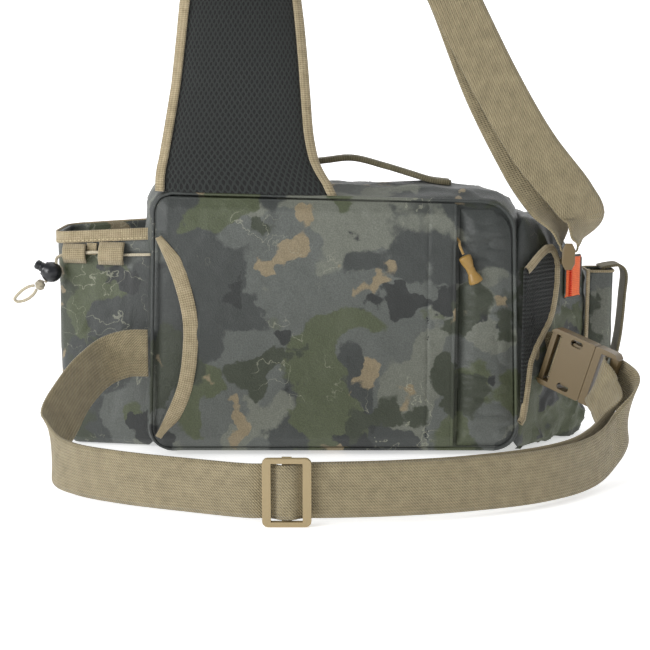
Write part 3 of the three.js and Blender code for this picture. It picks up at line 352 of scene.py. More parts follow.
def inflate(piece, cap, pressure=4.0):
    """Cloth with air in it, held to within cap millimetres of its cut shape."""
    start = np.empty(len(piece.data.vertices) * 3)
    piece.data.vertices.foreach_get("co", start)
    cloth = piece.modifiers.new("cloth", "CLOTH")
    cloth.settings.quality = 4
    cloth.settings.use_pressure = True
    cloth.settings.uniform_pressure_force = pressure
    cloth.settings.effector_weights.gravity = 0
    cloth.settings.tension_stiffness = 20
    cloth.settings.compression_stiffness = 20
    cloth.collision_settings.use_collision = False
    for step in range(1, 21):
        bpy.context.scene.frame_set(step)
    settled = piece.evaluated_get(bpy.context.evaluated_depsgraph_get()).to_mesh()
    end = np.empty(len(settled.vertices) * 3)
    settled.vertices.foreach_get("co", end)
    piece.modifiers.remove(cloth)
    bpy.context.scene.frame_set(1)
    move = (end - start).reshape(-1, 3)
    far = np.maximum(np.linalg.norm(move, axis=1, keepdims=True), 1e-9)
    held = move * np.minimum(1, cap * 0.001 / far)
    piece.data.vertices.foreach_set("co", (start.reshape(-1, 3) + held).ravel())
    piece.data.update()
    return piece


def rounded_outline(corners, grow, steps=9):
    ring = []
    for i, here in enumerate(corners):
        before, after = corners[i - 1], corners[(i + 1) % len(corners)]
        inward = Vector((here[0] - before[0], here[1] - before[1])).normalized()
        outward = Vector((after[0] - here[0], after[1] - here[1])).normalized()
        half = math.acos(max(-1, min(1, -inward.dot(outward)))) / 2
        bisector = (outward - inward).normalized()
        tip = Vector(here[:2]) - bisector * (grow / math.sin(half))
        radius = max(here[2] + grow, 0.5)
        centre = tip + bisector * (radius / math.sin(half))
        first, last = Vector((inward.y, -inward.x)), Vector((outward.y, -outward.x))
        side = -radius if bisector.dot(first) > 0 else radius
        for k in range(steps + 1):
            ring.append(centre + first.lerp(last, k / steps).normalized() * side)
    return ring


class Loop:
    """A closed outline that is read by its share of the way round."""

    def __init__(self, ring):
        self.points = np.array([list(p) for p in ring] + [list(ring[0])])
        steps = np.linalg.norm(np.diff(self.points, axis=0), axis=1)
        self.length = float(steps.sum())
        self.ways = np.concatenate([[0], np.cumsum(steps)]) / self.length

    def at(self, t):
        return [float(np.interp(t, self.ways, self.points[:, k])) for k in range(self.points.shape[1])]


def spline(points, t):
    """The centripetal curve through the points, t from 0 to 1, in even shares of the spans."""
    spans = len(points) - 1
    k = min(int(t * spans), spans - 1)
    w = t * spans - k
    p1, p2 = points[k], points[k + 1]
    p0 = points[k - 1] if k > 0 else p1 * 2 - p2
    p3 = points[k + 2] if k + 2 < len(points) else p2 * 2 - p1
    d0, d1, d2 = (max((b - a).length ** 0.5, 1e-4) for a, b in ((p0, p1), (p1, p2), (p2, p3)))
    m1 = ((p1 - p0) / d0 - (p2 - p0) / (d0 + d1) + (p2 - p1) / d1) * d1
    m2 = ((p2 - p1) / d1 - (p3 - p1) / (d1 + d2) + (p3 - p2) / d2) * d1
    return (p1 + m1 * w + (p1 * -3 + p2 * 3 - m1 * 2 - m2) * w * w
            + (p1 * 2 - p2 * 2 + m1 + m2) * w * w * w)


class Ribbon:
    """A strip through stations: a centre, the way of its width and, where it varies, its half width."""

    def __init__(self, stations, level=False):
        self.centres = [Vector(s[0]) for s in stations]
        self.across = [Vector(s[1]) for s in stations]
        self.halves = [s[2] if len(s) > 2 else 0 for s in stations]
        self.level = level
        self.count = len(stations) - 1
        marks = [spline(self.centres, i / 400) for i in range(401)]
        steps = [0.0]
        for a, b in zip(marks, marks[1:]):
            steps.append(steps[-1] + (b - a).length)
        self.length = steps[-1]
        self.steps = np.array(steps) / self.length

    def frame(self, share):
        t = float(np.interp(share, self.steps, np.linspace(0, 1, 401)))
        here = spline(self.centres, t)
        ahead, behind = spline(self.centres, min(t + 0.002, 1)), spline(self.centres, max(t - 0.002, 0))
        tangent = (ahead - behind).normalized()
        k = min(int(t * self.count), self.count - 1)
        w = t * self.count - k
        across = self.across[k].lerp(self.across[k + 1], w)
        if not self.level:
            across = across - tangent * across.dot(tangent)
        across.normalize()
        return here, across, across.cross(tangent).normalized(), lerp(self.halves[k], self.halves[k + 1], w)

    def point(self, share, aside, out=0.0):
        here, across, normal, _ = self.frame(share)
        return here + across * aside + normal * out


def strip(name, ribbon, width, thickness, material, nodes, cells=None, edge=0.0, body=BAG):
    rows = cells or (max(int(ribbon.length / 2), 30), 10)

    def form(u, v):
        return ribbon.point(u, (v - 0.5) * width, edge * abs(2 * v - 1) ** 4)

    piece = shaped_grid(name, rows, form, (ribbon.length * 0.001, width * 0.001))
    walls(piece, thickness)
    return dress(piece, material, nodes, body)


def rounded_copy(name, node, width, material, body=BAG, segments=2):
    """A moulded piece as the solid has it, with its edges rounded."""
    source = frame["nodes"][node]
    piece = source.copy()
    piece.data = source.data.copy()
    piece.parent = None
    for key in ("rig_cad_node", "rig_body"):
        if key in piece:
            del piece[key]
    piece.name = name
    piece.data.name = name
    bpy.context.scene.collection.objects.link(piece)
    only(piece)
    close_up(piece, 1e-6)
    finish_with(piece, "BEVEL", width=width * 0.001, segments=segments, limit_method="ANGLE",
                angle_limit=math.radians(32))
    only(piece)
    bpy.ops.object.shade_smooth_by_angle(angle=math.radians(40))
    finish_with(piece, "WEIGHTED_NORMAL", keep_sharp=True)
    return dress(piece, material, [node], body)


def tube(name, points, radius, material, nodes=(), rows=None, sides=10, closed=False):
    """A round cord through the points; its ends are rounded in."""
    centres = [Vector(p) for p in points]
    if closed:
        centres.append(centres[0])
    count = rows or len(points) * 5
    length = sum((b - a).length for a, b in zip(centres, centres[1:]))

    def form(u, v):
        here = spline(centres, v)
        tangent = (spline(centres, min(v + 0.004, 1)) - spline(centres, max(v - 0.004, 0))).normalized()
        if closed and (v < 0.002 or v > 0.998):
            tangent = (spline(centres, 0.004) - spline(centres, 0.996)).normalized()
        side = tangent.cross(Vector((0.13, 0.97, 0.21))).normalized()
        up = side.cross(tangent)
        edge = 1.0 if closed else min(1.0, math.sqrt(max(min(v, 1 - v) * count, 0)))
        turn = 2 * math.pi * u
        return here + (side * math.cos(turn) + up * math.sin(turn)) * radius * edge

    piece = shaped_grid(name, (sides, count), form, (2 * math.pi * radius * 0.001, length * 0.001), True)
    return dress(piece, material, nodes)


# Stitches: one thread loop, copied along a line on the surface
def stitches(name, line, facing, length, pitch, radius, material):
    """line(share) gives a point in mm and facing(share) the way out; each stitch lies along the line."""
    marks = [Vector(line(i / 200)) for i in range(201)]
    ways = [0.0]
    for a, b in zip(marks, marks[1:]):
        ways.append(ways[-1] + (b - a).length)
    count = max(int(ways[-1] / pitch), 1)
    bpy.ops.object.select_all(action="DESELECT")
    bpy.ops.mesh.primitive_uv_sphere_add(segments=6, ring_count=4, radius=1)
    first = bpy.context.object
    shape = [v.co.copy() for v in first.data.vertices]
    made = []
    for i in range(count):
        share = float(np.interp((i + 0.5) / count * ways[-1], ways, np.linspace(0, 1, 201)))
        here = Vector(line(share))
        run = (Vector(line(min(share + 0.004, 1))) - Vector(line(max(share - 0.004, 0)))).normalized()
        out = Vector(facing(share))
        out = (out - run * out.dot(run)).normalized()
        side = run.cross(out)
        copy = first.copy()
        copy.data = first.data.copy()
        bpy.context.scene.collection.objects.link(copy)
        for vertex, c in zip(copy.data.vertices, shape):
            at = here + run * c.x * length / 2 + side * c.y * radius + out * c.z * radius
            vertex.co = metres(at)
        made.append(copy)
    bpy.data.objects.remove(first)
    bpy.ops.object.select_all(action="DESELECT")
    for copy in made:
        copy.select_set(True)
    bpy.context.view_layer.objects.active = made[0]
    if len(made) > 1:
        bpy.ops.object.join()
    piece = bpy.context.object
    piece.name = name
    piece.data.name = name
    bpy.ops.object.shade_smooth()
    return dress(piece, material)


# Main body
BODY = {"half": 158, "height": 221, "depth": 114, "front": 8, "crown": 10, "top_crown": 6, "lift": 3}
TAPER, SLOPE = 0.00022, 0.00012
SECTIONS = {
    "depth": [0, 0.06, 0.2, 0.48, 0.78, 0.93, 1],
    "side": [0, 0.35, 0.8, 1, 0.8, 0.2, -0.9],
    "top": [0, 0.35, 0.8, 1, 0.5, -0.6, -2.4],
    "lift": [1, 0.35, 0, 0, 0, 0.4, 2.4],
}
SIDE_SPANS = 24
# Shares of the body's grid: the back face, then the sides; the far face takes what is left
BACK_SHARE, SIDE_SHARE, FAR_FROM = 0.12, 0.48, 0.6


def leaned(x, z):
    return x * (1 - TAPER * z), z * (1 - SLOPE * x)


def seam_ring(grow, side=0.0, top=0.0, lift=1.0):
    half = BODY["half"] + side * BODY["crown"]
    high, low = BODY["height"] + top * BODY["top_crown"], lift * BODY["lift"]
    corners = [(-half, high, 18), (-half, low, 20), (half, low, 22), (half, high, 28)]
    return [leaned(*p) for p in rounded_outline(corners, grow)]


def top_at(x, share=1.0):
    return (BODY["height"] + share * BODY["top_crown"]) * (1 - SLOPE * x)


def seam_x(z, side=1):
    return side * BODY["half"] * (1 - TAPER * z)


def body_piece():
    loops = []
    for depth in np.linspace(0, 1, SIDE_SPANS + 1):
        side, top, lift = (np.interp(depth, SECTIONS["depth"], SECTIONS[k]) for k in ("side", "top", "lift"))
        loops.append(Loop(seam_ring(-0.4, side, top, lift)))

    def on_side(u, depth):
        k = min(int(depth * SIDE_SPANS), SIDE_SPANS - 1)
        a, b = loops[k].at(u), loops[k + 1].at(u)
        w = depth * SIDE_SPANS - k
        return lerp(a[0], b[0], w), BODY["front"] + depth * BODY["depth"], lerp(a[1], b[1], w)

    def form(u, v):
        if v < BACK_SHARE:
            x, y, z = on_side(u, 0)
            share = v / BACK_SHARE
            return lerp(0, x, share), y, lerp(110, z, share)
        if v < FAR_FROM:
            return on_side(u, (v - BACK_SHARE) / SIDE_SHARE)
        x, y, z = on_side(u, 1)
        share = (1 - v) / 0.4
        return lerp(0, x, share), y - 0.8 * share ** 3, lerp(112, z, share)

    piece = shaped_grid("body_cloth", (220, 90), form, closed=True)
    finish_with(piece, "SMOOTH", factor=0.5, iterations=3)
    inflate(piece, 2.2)

    def loose(p):
        near_back = smooth((p.y - 8) / 12)
        return 0.35 + 1.2 * near_back

    crumple(piece, 1.5, 52, loose, (1, 0.7, 1))
    for vertex in piece.data.vertices:
        vertex.co.z = max(vertex.co.z, LOWEST)
    return dress(piece, CAMO, ["bag_body"])


body_piece()

# Back panel: drawn in on the left, its right part a flap over the zip
PANEL_MARGIN, STITCH_LINE, FLAP_EDGE = 5, 78, 101
PANEL_LOW, PANEL_HIGH = 8.3, 215.7
SIDE_PANEL_LOW, SIDE_PANEL_HIGH = 8.6, 211.5
# Low edge, high edge, corner radius at the foot and at the head
PANEL_CORNERS = (8, 216, 15, 13)
SIDE_PANEL_CORNERS = (8, 212, 17, 23)
HOLLOW = {
    "height": [0, 0.1, 0.25, 0.42, 0.6, 0.78, 0.9, 1],
    "drawn": [0.12, 0.42, 0.83, 1, 0.98, 0.66, 0.33, 0.02],
}
HOLLOW_DEPTH, TAPE_LOW, TAPE_HIGH = 24, 18, 186
HOLLOW_LINE = []
for share, drawn in zip(HOLLOW["height"], HOLLOW["drawn"]):
    level = lerp(TAPE_LOW, TAPE_HIGH, share)
    HOLLOW_LINE.append(Vector((seam_x(level, -1) + PANEL_MARGIN + drawn * HOLLOW_DEPTH, 0, level)))
hollow_marks = [spline(HOLLOW_LINE, i / 80) for i in range(81)]


def corner_inset(z, low, high, foot, head):
    if z < low + foot:
        return foot - math.sqrt(max(foot ** 2 - (low + foot - z) ** 2, 0))
    if z > high - head:
        return head - math.sqrt(max(head ** 2 - (z - high + head) ** 2, 0))
    return 0.0


def panel_left(z):
    edge = seam_x(z, -1) + PANEL_MARGIN + corner_inset(z, *PANEL_CORNERS)
    if z < TAPE_LOW or z > TAPE_HIGH:
        return edge
    return max(edge, float(np.interp(z, [p.z for p in hollow_marks], [p.x for p in hollow_marks])))


def panel_piece():
    def form(u, v):
        z = lerp(PANEL_LOW, PANEL_HIGH, v)
        left = panel_left(z)
        x = lerp(left, FLAP_EDGE, u ** 0.9)
        steepness = 1.0 if z < TAPE_LOW or z > TAPE_HIGH else 4.0
        border = min(z - PANEL_LOW, PANEL_HIGH - z, (x - left) * steepness + 0.01)
        roll = 1 - smooth(border / 9)
        stitch = math.exp(-((x - STITCH_LINE) / 1.6) ** 2)
        stitch += 0.7 * math.exp(-((x - FLAP_EDGE + 2.6) / 0.9) ** 2)
        seam = math.exp(-((border - 6.5) / 1.6) ** 2)
        soft = 1.6 * noise.fractal(Vector((x / 46, 3.1, z / 40)), 0.9, 2.1, 3)
        wavy = math.sin(z / 2.6 + 2 * noise.noise(Vector((x / 9, 1, z / 14))))
        pucker = 0.55 * wavy * math.exp(-abs(x - STITCH_LINE) / 7)
        edge_ripple = 0.8 * noise.noise(Vector((x / 9, 7, z / 9))) * math.exp(-border / 12)
        y = 0.6 + 4.2 * roll + 0.9 * stitch + 0.5 * seam + (soft + pucker + edge_ripple) * (1 - roll)
        return x, max(y, -1.2), z * (1 - SLOPE * x)

    piece = shaped_grid("back_panel_cloth", (200, 170), form)
    walls(piece, 2.0, 1.0)
    return dress(piece, CAMO, ["back_panel"])


panel_piece()


def side_panel_piece():
    left = FLAP_EDGE + 3.5

    def form(u, v):
        z = lerp(SIDE_PANEL_LOW, SIDE_PANEL_HIGH, v)
        right = seam_x(z) - PANEL_MARGIN - corner_inset(z, *SIDE_PANEL_CORNERS)
        x = lerp(left, right, u)
        border = min(z - SIDE_PANEL_LOW, SIDE_PANEL_HIGH - z, x - left, right - x)
        puff = smooth(border / 15) ** 0.7
        fold = noise.fractal(Vector((x / 40, 5.5, z / 13)), 0.8, 2.2, 3) * 1.9
        crease = max(1 - 3 * abs(noise.noise(Vector((x / 34, 2.2, z / 17)))), 0) ** 2 * 1.5
        return x, 7.2 - 6.6 * puff + (fold + crease) * puff, z * (1 - SLOPE * x)

    piece = shaped_grid("side_panel_cloth", (44, 170), form)
    walls(piece, 1.6, 1.0)
    return dress(piece, CAMO, ["back_side_panel"])


side_panel_piece()

# Tape along the hollow's edge
TAPE_SPANS, TAPE_LENGTH, TAPE_WIDTH = 24, 182, 11.7
tape_rows = []
for i in range(TAPE_SPANS + 1):
    t = i / TAPE_SPANS
    here = spline(HOLLOW_LINE, t)
    run = (spline(HOLLOW_LINE, min(t + 0.01, 1)) - spline(HOLLOW_LINE, max(t - 0.01, 0))).normalized()
    inward = Vector((run.z, 0, -run.x))
    tape_rows.append((here, inward, min(1, 0.3 + 4 * min(t, 1 - t))))


def hollow_tape(u, v):
    k = min(int(u * TAPE_SPANS), TAPE_SPANS - 1)
    w = u * TAPE_SPANS - k
    here = tape_rows[k][0].lerp(tape_rows[k + 1][0], w)
    inward = tape_rows[k][1].lerp(tape_rows[k + 1][1], w)
    width = lerp(tape_rows[k][2], tape_rows[k + 1][2], w) * TAPE_WIDTH
    lift = -1.7 + 0.9 * abs(2 * v - 1) ** 3 + 0.25 * noise.noise(Vector((u * 30, v * 3, 2)))
    return here + inward * (v * width) + Vector((0, lift, 0))


tape_piece = shaped_grid("hollow_tape", (150, 12), hollow_tape, (TAPE_LENGTH * 0.001, TAPE_WIDTH * 0.001))
walls(tape_piece, 1.2, -1.0)
dress(tape_piece, TAPE, ["left_edge_binding"])
for name, share in (("hollow_seam_outer", 0.18), ("hollow_seam_inner", 0.82)):
    stitches(name, lambda t, s=share: hollow_tape(lerp(0.04, 0.96, t), s) + Vector((0, -0.25, 0)),
             lambda t: (0, -1, 0), 2.6, 3.6, 0.42, THREAD)

# Piping round the back face
seam_loop = Loop(seam_ring(-2.4))
seam_points = [Vector((seam_loop.at(i / 90)[0], 5.4, seam_loop.at(i / 90)[1])) for i in range(90)]
tube("seam_piping", seam_points, 1.6, CAMO, ["back_seam_piping"], 360, 10, True)

# Flap stitching
stitches("flap_seam", lambda t: (STITCH_LINE + 0.9 * math.sin(t * 340), 0.2, lerp(14, 205, t)),
         lambda t: (0, -1, 0), 2.4, 3.1, 0.4, DARK_THREAD)

# Zip and pull
for node, material in (("back_zip", DARK), ("zip_slider", METAL)):
    frame["nodes"][node].data.materials.clear()
    frame["nodes"][node].data.materials.append(material)

GRIP_START, GRIP_LENGTH, GRIP_RADIUS = Vector((106.6, -5.4, 171.9)), 26, 5.3
GRIP_AXIS = Vector((0.43, -0.03, -0.9)).normalized()
GRIP_SIDE = Vector((0.9, 0, 0.43)).normalized()
GRIP_FACE = GRIP_SIDE.cross(GRIP_AXIS).normalized()
GRIP_ROWS = {"along": [0, 0.01, 0.06, 0.22, 0.45, 0.62, 0.85, 0.94, 0.99, 1],
             "round": [0, 0.55, 1, 0.94, 0.68, 0.7, 1.1, 1.13, 0.85, 0]}


def grip_form(u, v):
    reach = GRIP_RADIUS * float(np.interp(v, GRIP_ROWS["along"], GRIP_ROWS["round"]))
    groove = 1 - 0.06 * max(math.sin(v * GRIP_LENGTH * 1.25), 0) * (0.3 < v < 0.8)
    turn = 2 * math.pi * u
    return (GRIP_START + GRIP_AXIS * GRIP_LENGTH * v + GRIP_SIDE * reach * groove * math.cos(turn)
            + GRIP_FACE * reach * groove * 0.72 * math.sin(turn))


grip_piece = shaped_grid("pull_grip", (28, 40), grip_form, closed=True)
finish_with(grip_piece, "SMOOTH", factor=0.5, iterations=2)
dress(grip_piece, GRIP, ["zip_pull_grip"])

PULL_LINE = [(95.4, 5.3, 187), (98.4, 5.3, 187), (99.6, 5.4, 186), (103, 3.2, 183.2), (103.6, -0.8, 179.2),
             (105, -4, 175.4), (106.3, -5.2, 172.4)]
tube("pull_cord", PULL_LINE, 1.1, PULL_CORD, ["zip_pull_cord"], 60)

# Carry handle
HANDLE = [(-84, 0), (-62, 5), (-32, 12), (-6, 16), (16, 18.5), (44, 12.5), (66, 6.5), (84, 1.6), (100, 0)]
handle_line = Ribbon([((x, 60, top_at(x) + 2.7 + rise), (0, 1, 0)) for x, rise in HANDLE])
strip("handle_webbing", handle_line, 25, 4.2, OLIVE, ["carry_handle"], edge=-0.8)

# End pouch
POUCH_PLAN = [(150, 9, 2), (159, 9, 2), (225, 75, 10), (222, 112, 14), (150, 116, 2)]
POUCH_ROWS = {"height": [0, 0.03, 0.1, 0.3, 0.75, 0.95, 1], "drawn": [11, 4, 0.5, 0, 0.5, 2.5, 7]}
POUCH_MIDDLE = (180, 75)
# Shares of the pouch's grid: its foot and its top, then the wall between them
POUCH_END, POUCH_WALL = 0.14, 0.72
# Its slanted face, and the zip window in it, measured along the face and in height
FACE_CORNER = (159, 9)
FACE_ALONG, FACE_OUT = Vector((1, 1, 0)).normalized(), Vector((1, -1, 0)).normalized()
WINDOW_START, WINDOW_END, WINDOW_LOW, WINDOW_HIGH = 57, 80, 128, 164
WINDOW_TEETH = 63.8
HELD_ALONG, HELD_HEIGHT = (46, 90), (112, 178)


def on_face(s, off, z):
    return Vector((*FACE_CORNER, z)) + FACE_ALONG * s + FACE_OUT * off


def pouch_top(x):
    return 202 - 54 * min(max((x - 158) / 68, 0), 1) ** 1.5


def pouch_piece():
    loops = {}

    def form(u, v):
        if v < POUCH_END:
            height, inside = 0.0, v / POUCH_END
        elif v > 1 - POUCH_END:
            height, inside = 1.0, (1 - v) / POUCH_END
        else:
            height, inside = (v - POUCH_END) / POUCH_WALL, 1.0
        drawn = round(float(np.interp(height, POUCH_ROWS["height"], POUCH_ROWS["drawn"])), 2)
        if drawn not in loops:
            loops[drawn] = Loop(rounded_outline(POUCH_PLAN, -drawn))
        x, y = loops[drawn].at(u)
        x, y = lerp(POUCH_MIDDLE[0], x, inside), lerp(POUCH_MIDDLE[1], y, inside)
        return x, y, pouch_top(x) * height

    piece = shaped_grid("pouch_cloth", (150, 90), form, closed=True)
    finish_with(piece, "SMOOTH", factor=0.5, iterations=3)
    inflate(piece, 3.5)

    def loose(p):
        under_wing = 1 if p.z < 100 else 0.3
        if p.x < 172 or 124 < p.z < 168 and p.x < 222:
            return 0.25
        return lerp(0.8, 1.9, under_wing) + 0.9 * smooth((70 - p.z) / 40)

    crumple(piece, 1.7, 27, loose, (1, 1, 0.75))
    for vertex in piece.data.vertices:
        vertex.co.z = max(vertex.co.z, LOWEST)
        here = vertex.co * 1000 + REST
        from_corner = here - on_face(0, 0, here.z)
        s, off = from_corner.dot(FACE_ALONG), from_corner.dot(FACE_OUT)
        flat = smooth((s - HELD_ALONG[0]) / 10) * smooth((HELD_ALONG[1] - s) / 9)
        flat *= smooth((here.z - HELD_HEIGHT[0]) / 12) * smooth((HELD_HEIGHT[1] - here.z) / 10)
        if off > -8:
            vertex.co -= FACE_OUT * (max(off + 0.3, 0) * flat * 0.001)
    return dress(piece, CAMO, ["end_pouch"])


pouch_piece()


def zip_window():
    """Orange tape set in the pouch's face, with a coil of red teeth down it."""
    inset = 0.4

    def on_tape(u, v):
        z = lerp(WINDOW_LOW + inset, WINDOW_HIGH - inset, v)
        return on_face(lerp(WINDOW_START + inset, WINDOW_END - inset, u), 0.9 - 0.5 * abs(2 * u - 1), z)

    tape = shaped_grid("end_zip_tape", (6, 24), on_tape, (0.0222, 0.0352))
    walls(tape, 1.2)
    dress(tape, ZIP_TAPE, ["end_zip"])
    stitches("end_zip_teeth", lambda t: on_face(WINDOW_TEETH, 1.9, lerp(WINDOW_LOW + 1, WINDOW_HIGH - 1, t)),
             lambda t: FACE_OUT, 1.3, 1.7, 1.9, ZIP_TEETH)
    rims = [((s, WINDOW_LOW), (s, WINDOW_HIGH)) for s in (WINDOW_START, WINDOW_END)]
    rims += [((WINDOW_START, z), (WINDOW_END, z)) for z in (WINDOW_HIGH, WINDOW_LOW)]
    for i, ((s0, z0), (s1, z1)) in enumerate(rims):
        points = [on_face(lerp(s0, s1, k / 4), 0.7, lerp(z0, z1, k / 4)) for k in range(5)]
        tube(f"end_zip_rim_{i}", points, 1.1, CAMO, (), 12, 8)


zip_window()

pouch_tape = Ribbon([((223.8, 71.6, lerp(62, 150, k / 4)), (0.35, 0.94, 0)) for k in range(5)])
strip("pouch_corner_tape", pouch_tape, 8, 2, TAPE, ["pouch_piping"], edge=0.8)

# Slim pocket on the pouch's end
SLIM_PLAN = [(225.6, 80.5, 3), (250, 80.5, 6), (250, 111.5, 6), (225.6, 111.5, 3)]
SLIM_MIDDLE, SLIM_LOW, SLIM_HIGH, SLIM_FLOOR = (238, 96), 42.5, 147.5, 0.12
slim_loop = Loop(rounded_outline(SLIM_PLAN, -0.6))


def slim_form(u, v):
    x, y = slim_loop.at(u)
    if v < SLIM_FLOOR:
        share = v / SLIM_FLOOR
        return lerp(SLIM_MIDDLE[0], x, share), lerp(SLIM_MIDDLE[1], y, share), SLIM_LOW
    z = lerp(SLIM_LOW, SLIM_HIGH, (v - SLIM_FLOOR) / (1 - SLIM_FLOOR))
    sag = noise.noise(Vector((x / 16, y / 16, z / 18)))
    return x + sag, y + sag * 0.6, z


slim = shaped_grid("slim_pocket_cloth", (60, 60), slim_form, closed=True)
walls(slim, 1.8, -1.0)
dress(slim, CAMO, ["right_pocket"])
slim_rim = [Vector((slim_loop.at(i / 24)[0], slim_loop.at(i / 24)[1], 147.2)) for i in range(24)]
tube("slim_pocket_rim", slim_rim, 1.3, TAPE, (), 96, 8, True)

LOOP_ROWS = [(238.5, 149.4), (246.5, 151.2), (255.5, 151.6), (260.5, 146), (260.1, 124), (257.5, 88),
             (253.7, 66), (251.9, 56), (251.9, 46)]
side_loop = Ribbon([((x, 96, z), (0, 1, 0)) for x, z in LOOP_ROWS])
strip("side_loop_webbing", side_loop, 24, 2.2, OLIVE, ["right_webbing_loop"])

# Mesh wing over the pouch's face
WING_ROWS = [(158.4, 27, 160.5), (161.4, 31, 163), (164.6, 56, 166), (167, 79, 168.5), (172, 90, 173),
             (178, 99.5, 177), (184, 109, 177), (187.6, 118.5, 172.5), (190, 131, 166.5), (191.4, 144, 160)]
WING_X, WING_LOW, WING_HIGH = (list(column) for column in zip(*WING_ROWS))
WING_LINE, WING_BEND, SLANT = 157.5, 162, 2 ** 0.5


def wing_point(x, z, off):
    if x < WING_BEND:
        y = lerp(1.2, WING_BEND - WING_LINE, (x - WING_X[0]) / (WING_BEND - WING_X[0]))
        out = Vector((0.5, -0.86, 0))
    else:
        y, out = x - WING_LINE, FACE_OUT
    return Vector((x, y, z)) + out * off


wing_lower = list(zip(WING_X, WING_LOW)) + [(WING_X[-1], WING_HIGH[-1])]
wing_upper = list(zip(WING_X, WING_HIGH))[::-1]


def wing_form(u, v):
    x = lerp(158.4, 190.6, u)
    low = float(np.interp(x, WING_X, WING_LOW)) + 2
    high = float(np.interp(x, WING_X, WING_HIGH)) - 2
    fold = 0.22 * math.sin(lerp(low, high, v)) * smooth(min(u, 1 - u) * 5) * smooth(min(v, 1 - v) * 9)
    return wing_point(x, lerp(low, high, v), -0.6 + fold)


wing_piece = shaped_grid("wing_mesh_cloth", (40, 170), wing_form, (0.045, 0.11))
walls(wing_piece, 3.0)
dress(wing_piece, WING_MESH, ["right_wing"])


def wing_binding(name, line, node):
    """Tape round an edge of the wing; the face is slanted, so its length is its x times SLANT."""
    steps = [((b[0] - a[0]) ** 2 * 2 + (b[1] - a[1]) ** 2) ** 0.5 for a, b in zip(line, line[1:])]
    ways = np.cumsum([0] + steps)

    def at(way):
        return [float(np.interp(way, ways, [mark[k] for mark in line])) for k in (0, 1)]

    def form(u, v):
        way = u * ways[-1]
        x, z = at(way)
        ahead, behind = at(way + 3), at(way - 3)
        run = Vector(((ahead[0] - behind[0]) * SLANT, ahead[1] - behind[1])).normalized()
        turn = lerp(-math.pi / 2, 1.5 * math.pi, v)
        reach, off = 3 + 3.7 * math.sin(turn), 2.9 * math.cos(turn)
        return wing_point(x - run.y / SLANT * reach, z + run.x * reach, off)

    piece = shaped_grid(name, (90, 16), form, (float(ways[-1]) * 0.001, 0.018), True)
    dress(piece, TAPE, [node])


wing_binding("wing_binding_lower", wing_lower, "wing_binding")
wing_binding("wing_binding_upper", wing_upper, "wing_top_binding")

# Buckles and sliders: the buckles take the darker copy of the tan plastic as painted shade, the sliders the
# paler copy as painted highlight
for node, plastic in (("strap_buckle", SHADED_TAN_PLASTIC), ("strap_slider", LIT_TAN_PLASTIC), ("belt_slider", LIT_TAN_PLASTIC),
                      ("belt_buckle_female", SHADED_TAN_PLASTIC), ("belt_buckle_male", SHADED_TAN_PLASTIC)):
    rounded_copy(node + "_moulded", node, 0.9, plastic)

BUCKLE_BAR = Vector((0.18, 0.975, -0.12)).normalized()
BUCKLE_UP = Vector((0, 0, 1))
BUCKLE_UP = (BUCKLE_UP - BUCKLE_BAR * BUCKLE_UP.dot(BUCKLE_BAR)).normalized()
BUCKLE_OUT = BUCKLE_BAR.cross(BUCKLE_UP).normalized()
BUCKLE_CENTRE = Vector((197.3, 20.5, 167.5))
TOP_BAR = 9.0


def buckle_at(along, out, up):
    return BUCKLE_CENTRE + BUCKLE_BAR * along + BUCKLE_OUT * out + BUCKLE_UP * up


tab_line = Ribbon([(on_face(30, 1.6, 160.9), (0, 0, 1)), (on_face(44, 1.6, 160.8), (0, 0, 1)),
                   (buckle_at(18, -5, -4.2), (0, 0, 1)), (buckle_at(17, 4, -4.2), (0, 0, 1))])
strip("wing_tab_webbing", tab_line, 5, 1.6, STRAP, ["wing_webbing_tab"])

THREAD_ROWS = [(-26, 0), (-15.5, 0), (-9, 1.3), (-4, 4.6), (4, 4.6), (9, 1.3), (15.5, 0), (26, 0)]
SLOPE_ACROSS = (0.86, 0, 0.5)
SLIDE_CENTRE = Vector((83, 20, 407))
SLIDE_ALONG = Vector((0.464, 0, -0.886)).normalized()


def slide_point(along, back):
    return SLIDE_CENTRE + SLIDE_ALONG * along + Vector((0, back, 0))


def threaded(at, across):
    return [(at(along, -out), across) for along, out in THREAD_ROWS]


front_layer = Ribbon([
    ((26, 18.6, 514.4), (0.41, 0.91, 0)), ((38, 19.8, 492), (0.6, 0.74, 0.3)),
    ((54, 20, 461), (0.76, 0.46, 0.45)), *threaded(slide_point, SLOPE_ACROSS),
    ((134, 20, 309.5), SLOPE_ACROSS), ((166, 19.4, 257.5), (0.9, 0, 0.42)),
    ((198, 18.6, 218.5), (0.95, 0.2, 0.2)), ((209, 18.6, 201.6), (0.91, 0.4, 0.08)),
    (buckle_at(0, 7.4, TOP_BAR + 6), (0.35, 0.93, -0.1)),
    (buckle_at(0, 7.3, TOP_BAR + 0.5), BUCKLE_BAR), (buckle_at(0, 6.2, TOP_BAR - 4.2), BUCKLE_BAR),
    (buckle_at(0, 0.4, TOP_BAR - 4.9), BUCKLE_BAR),
])
strip("sling_front_webbing", front_layer, WEBBING_WIDTH, WEBBING, STRAP, ["strap_front_layer"])
back_layer = Ribbon([
    (buckle_at(0, -0.3, TOP_BAR - 4.9), BUCKLE_BAR), (buckle_at(0, -6, TOP_BAR - 4), BUCKLE_BAR),
    (buckle_at(0, -6.9, TOP_BAR + 0.5), BUCKLE_BAR), ((189.6, 24, 191.6), (0.5, 0.84, 0.02)),
    ((180, 27.4, 208.5), (0.82, 0.56, 0.12)), ((160, 28.6, 243), (0.88, 0.15, 0.44)),
    ((128, 28, 304.5), SLOPE_ACROSS), (slide_point(30, 5.4), SLOPE_ACROSS),
    (slide_point(13, 3.5), SLOPE_ACROSS), (slide_point(3, 1.8), SLOPE_ACROSS),
])
strip("sling_back_webbing", back_layer, WEBBING_WIDTH, WEBBING, STRAP, ["strap_back_layer"])

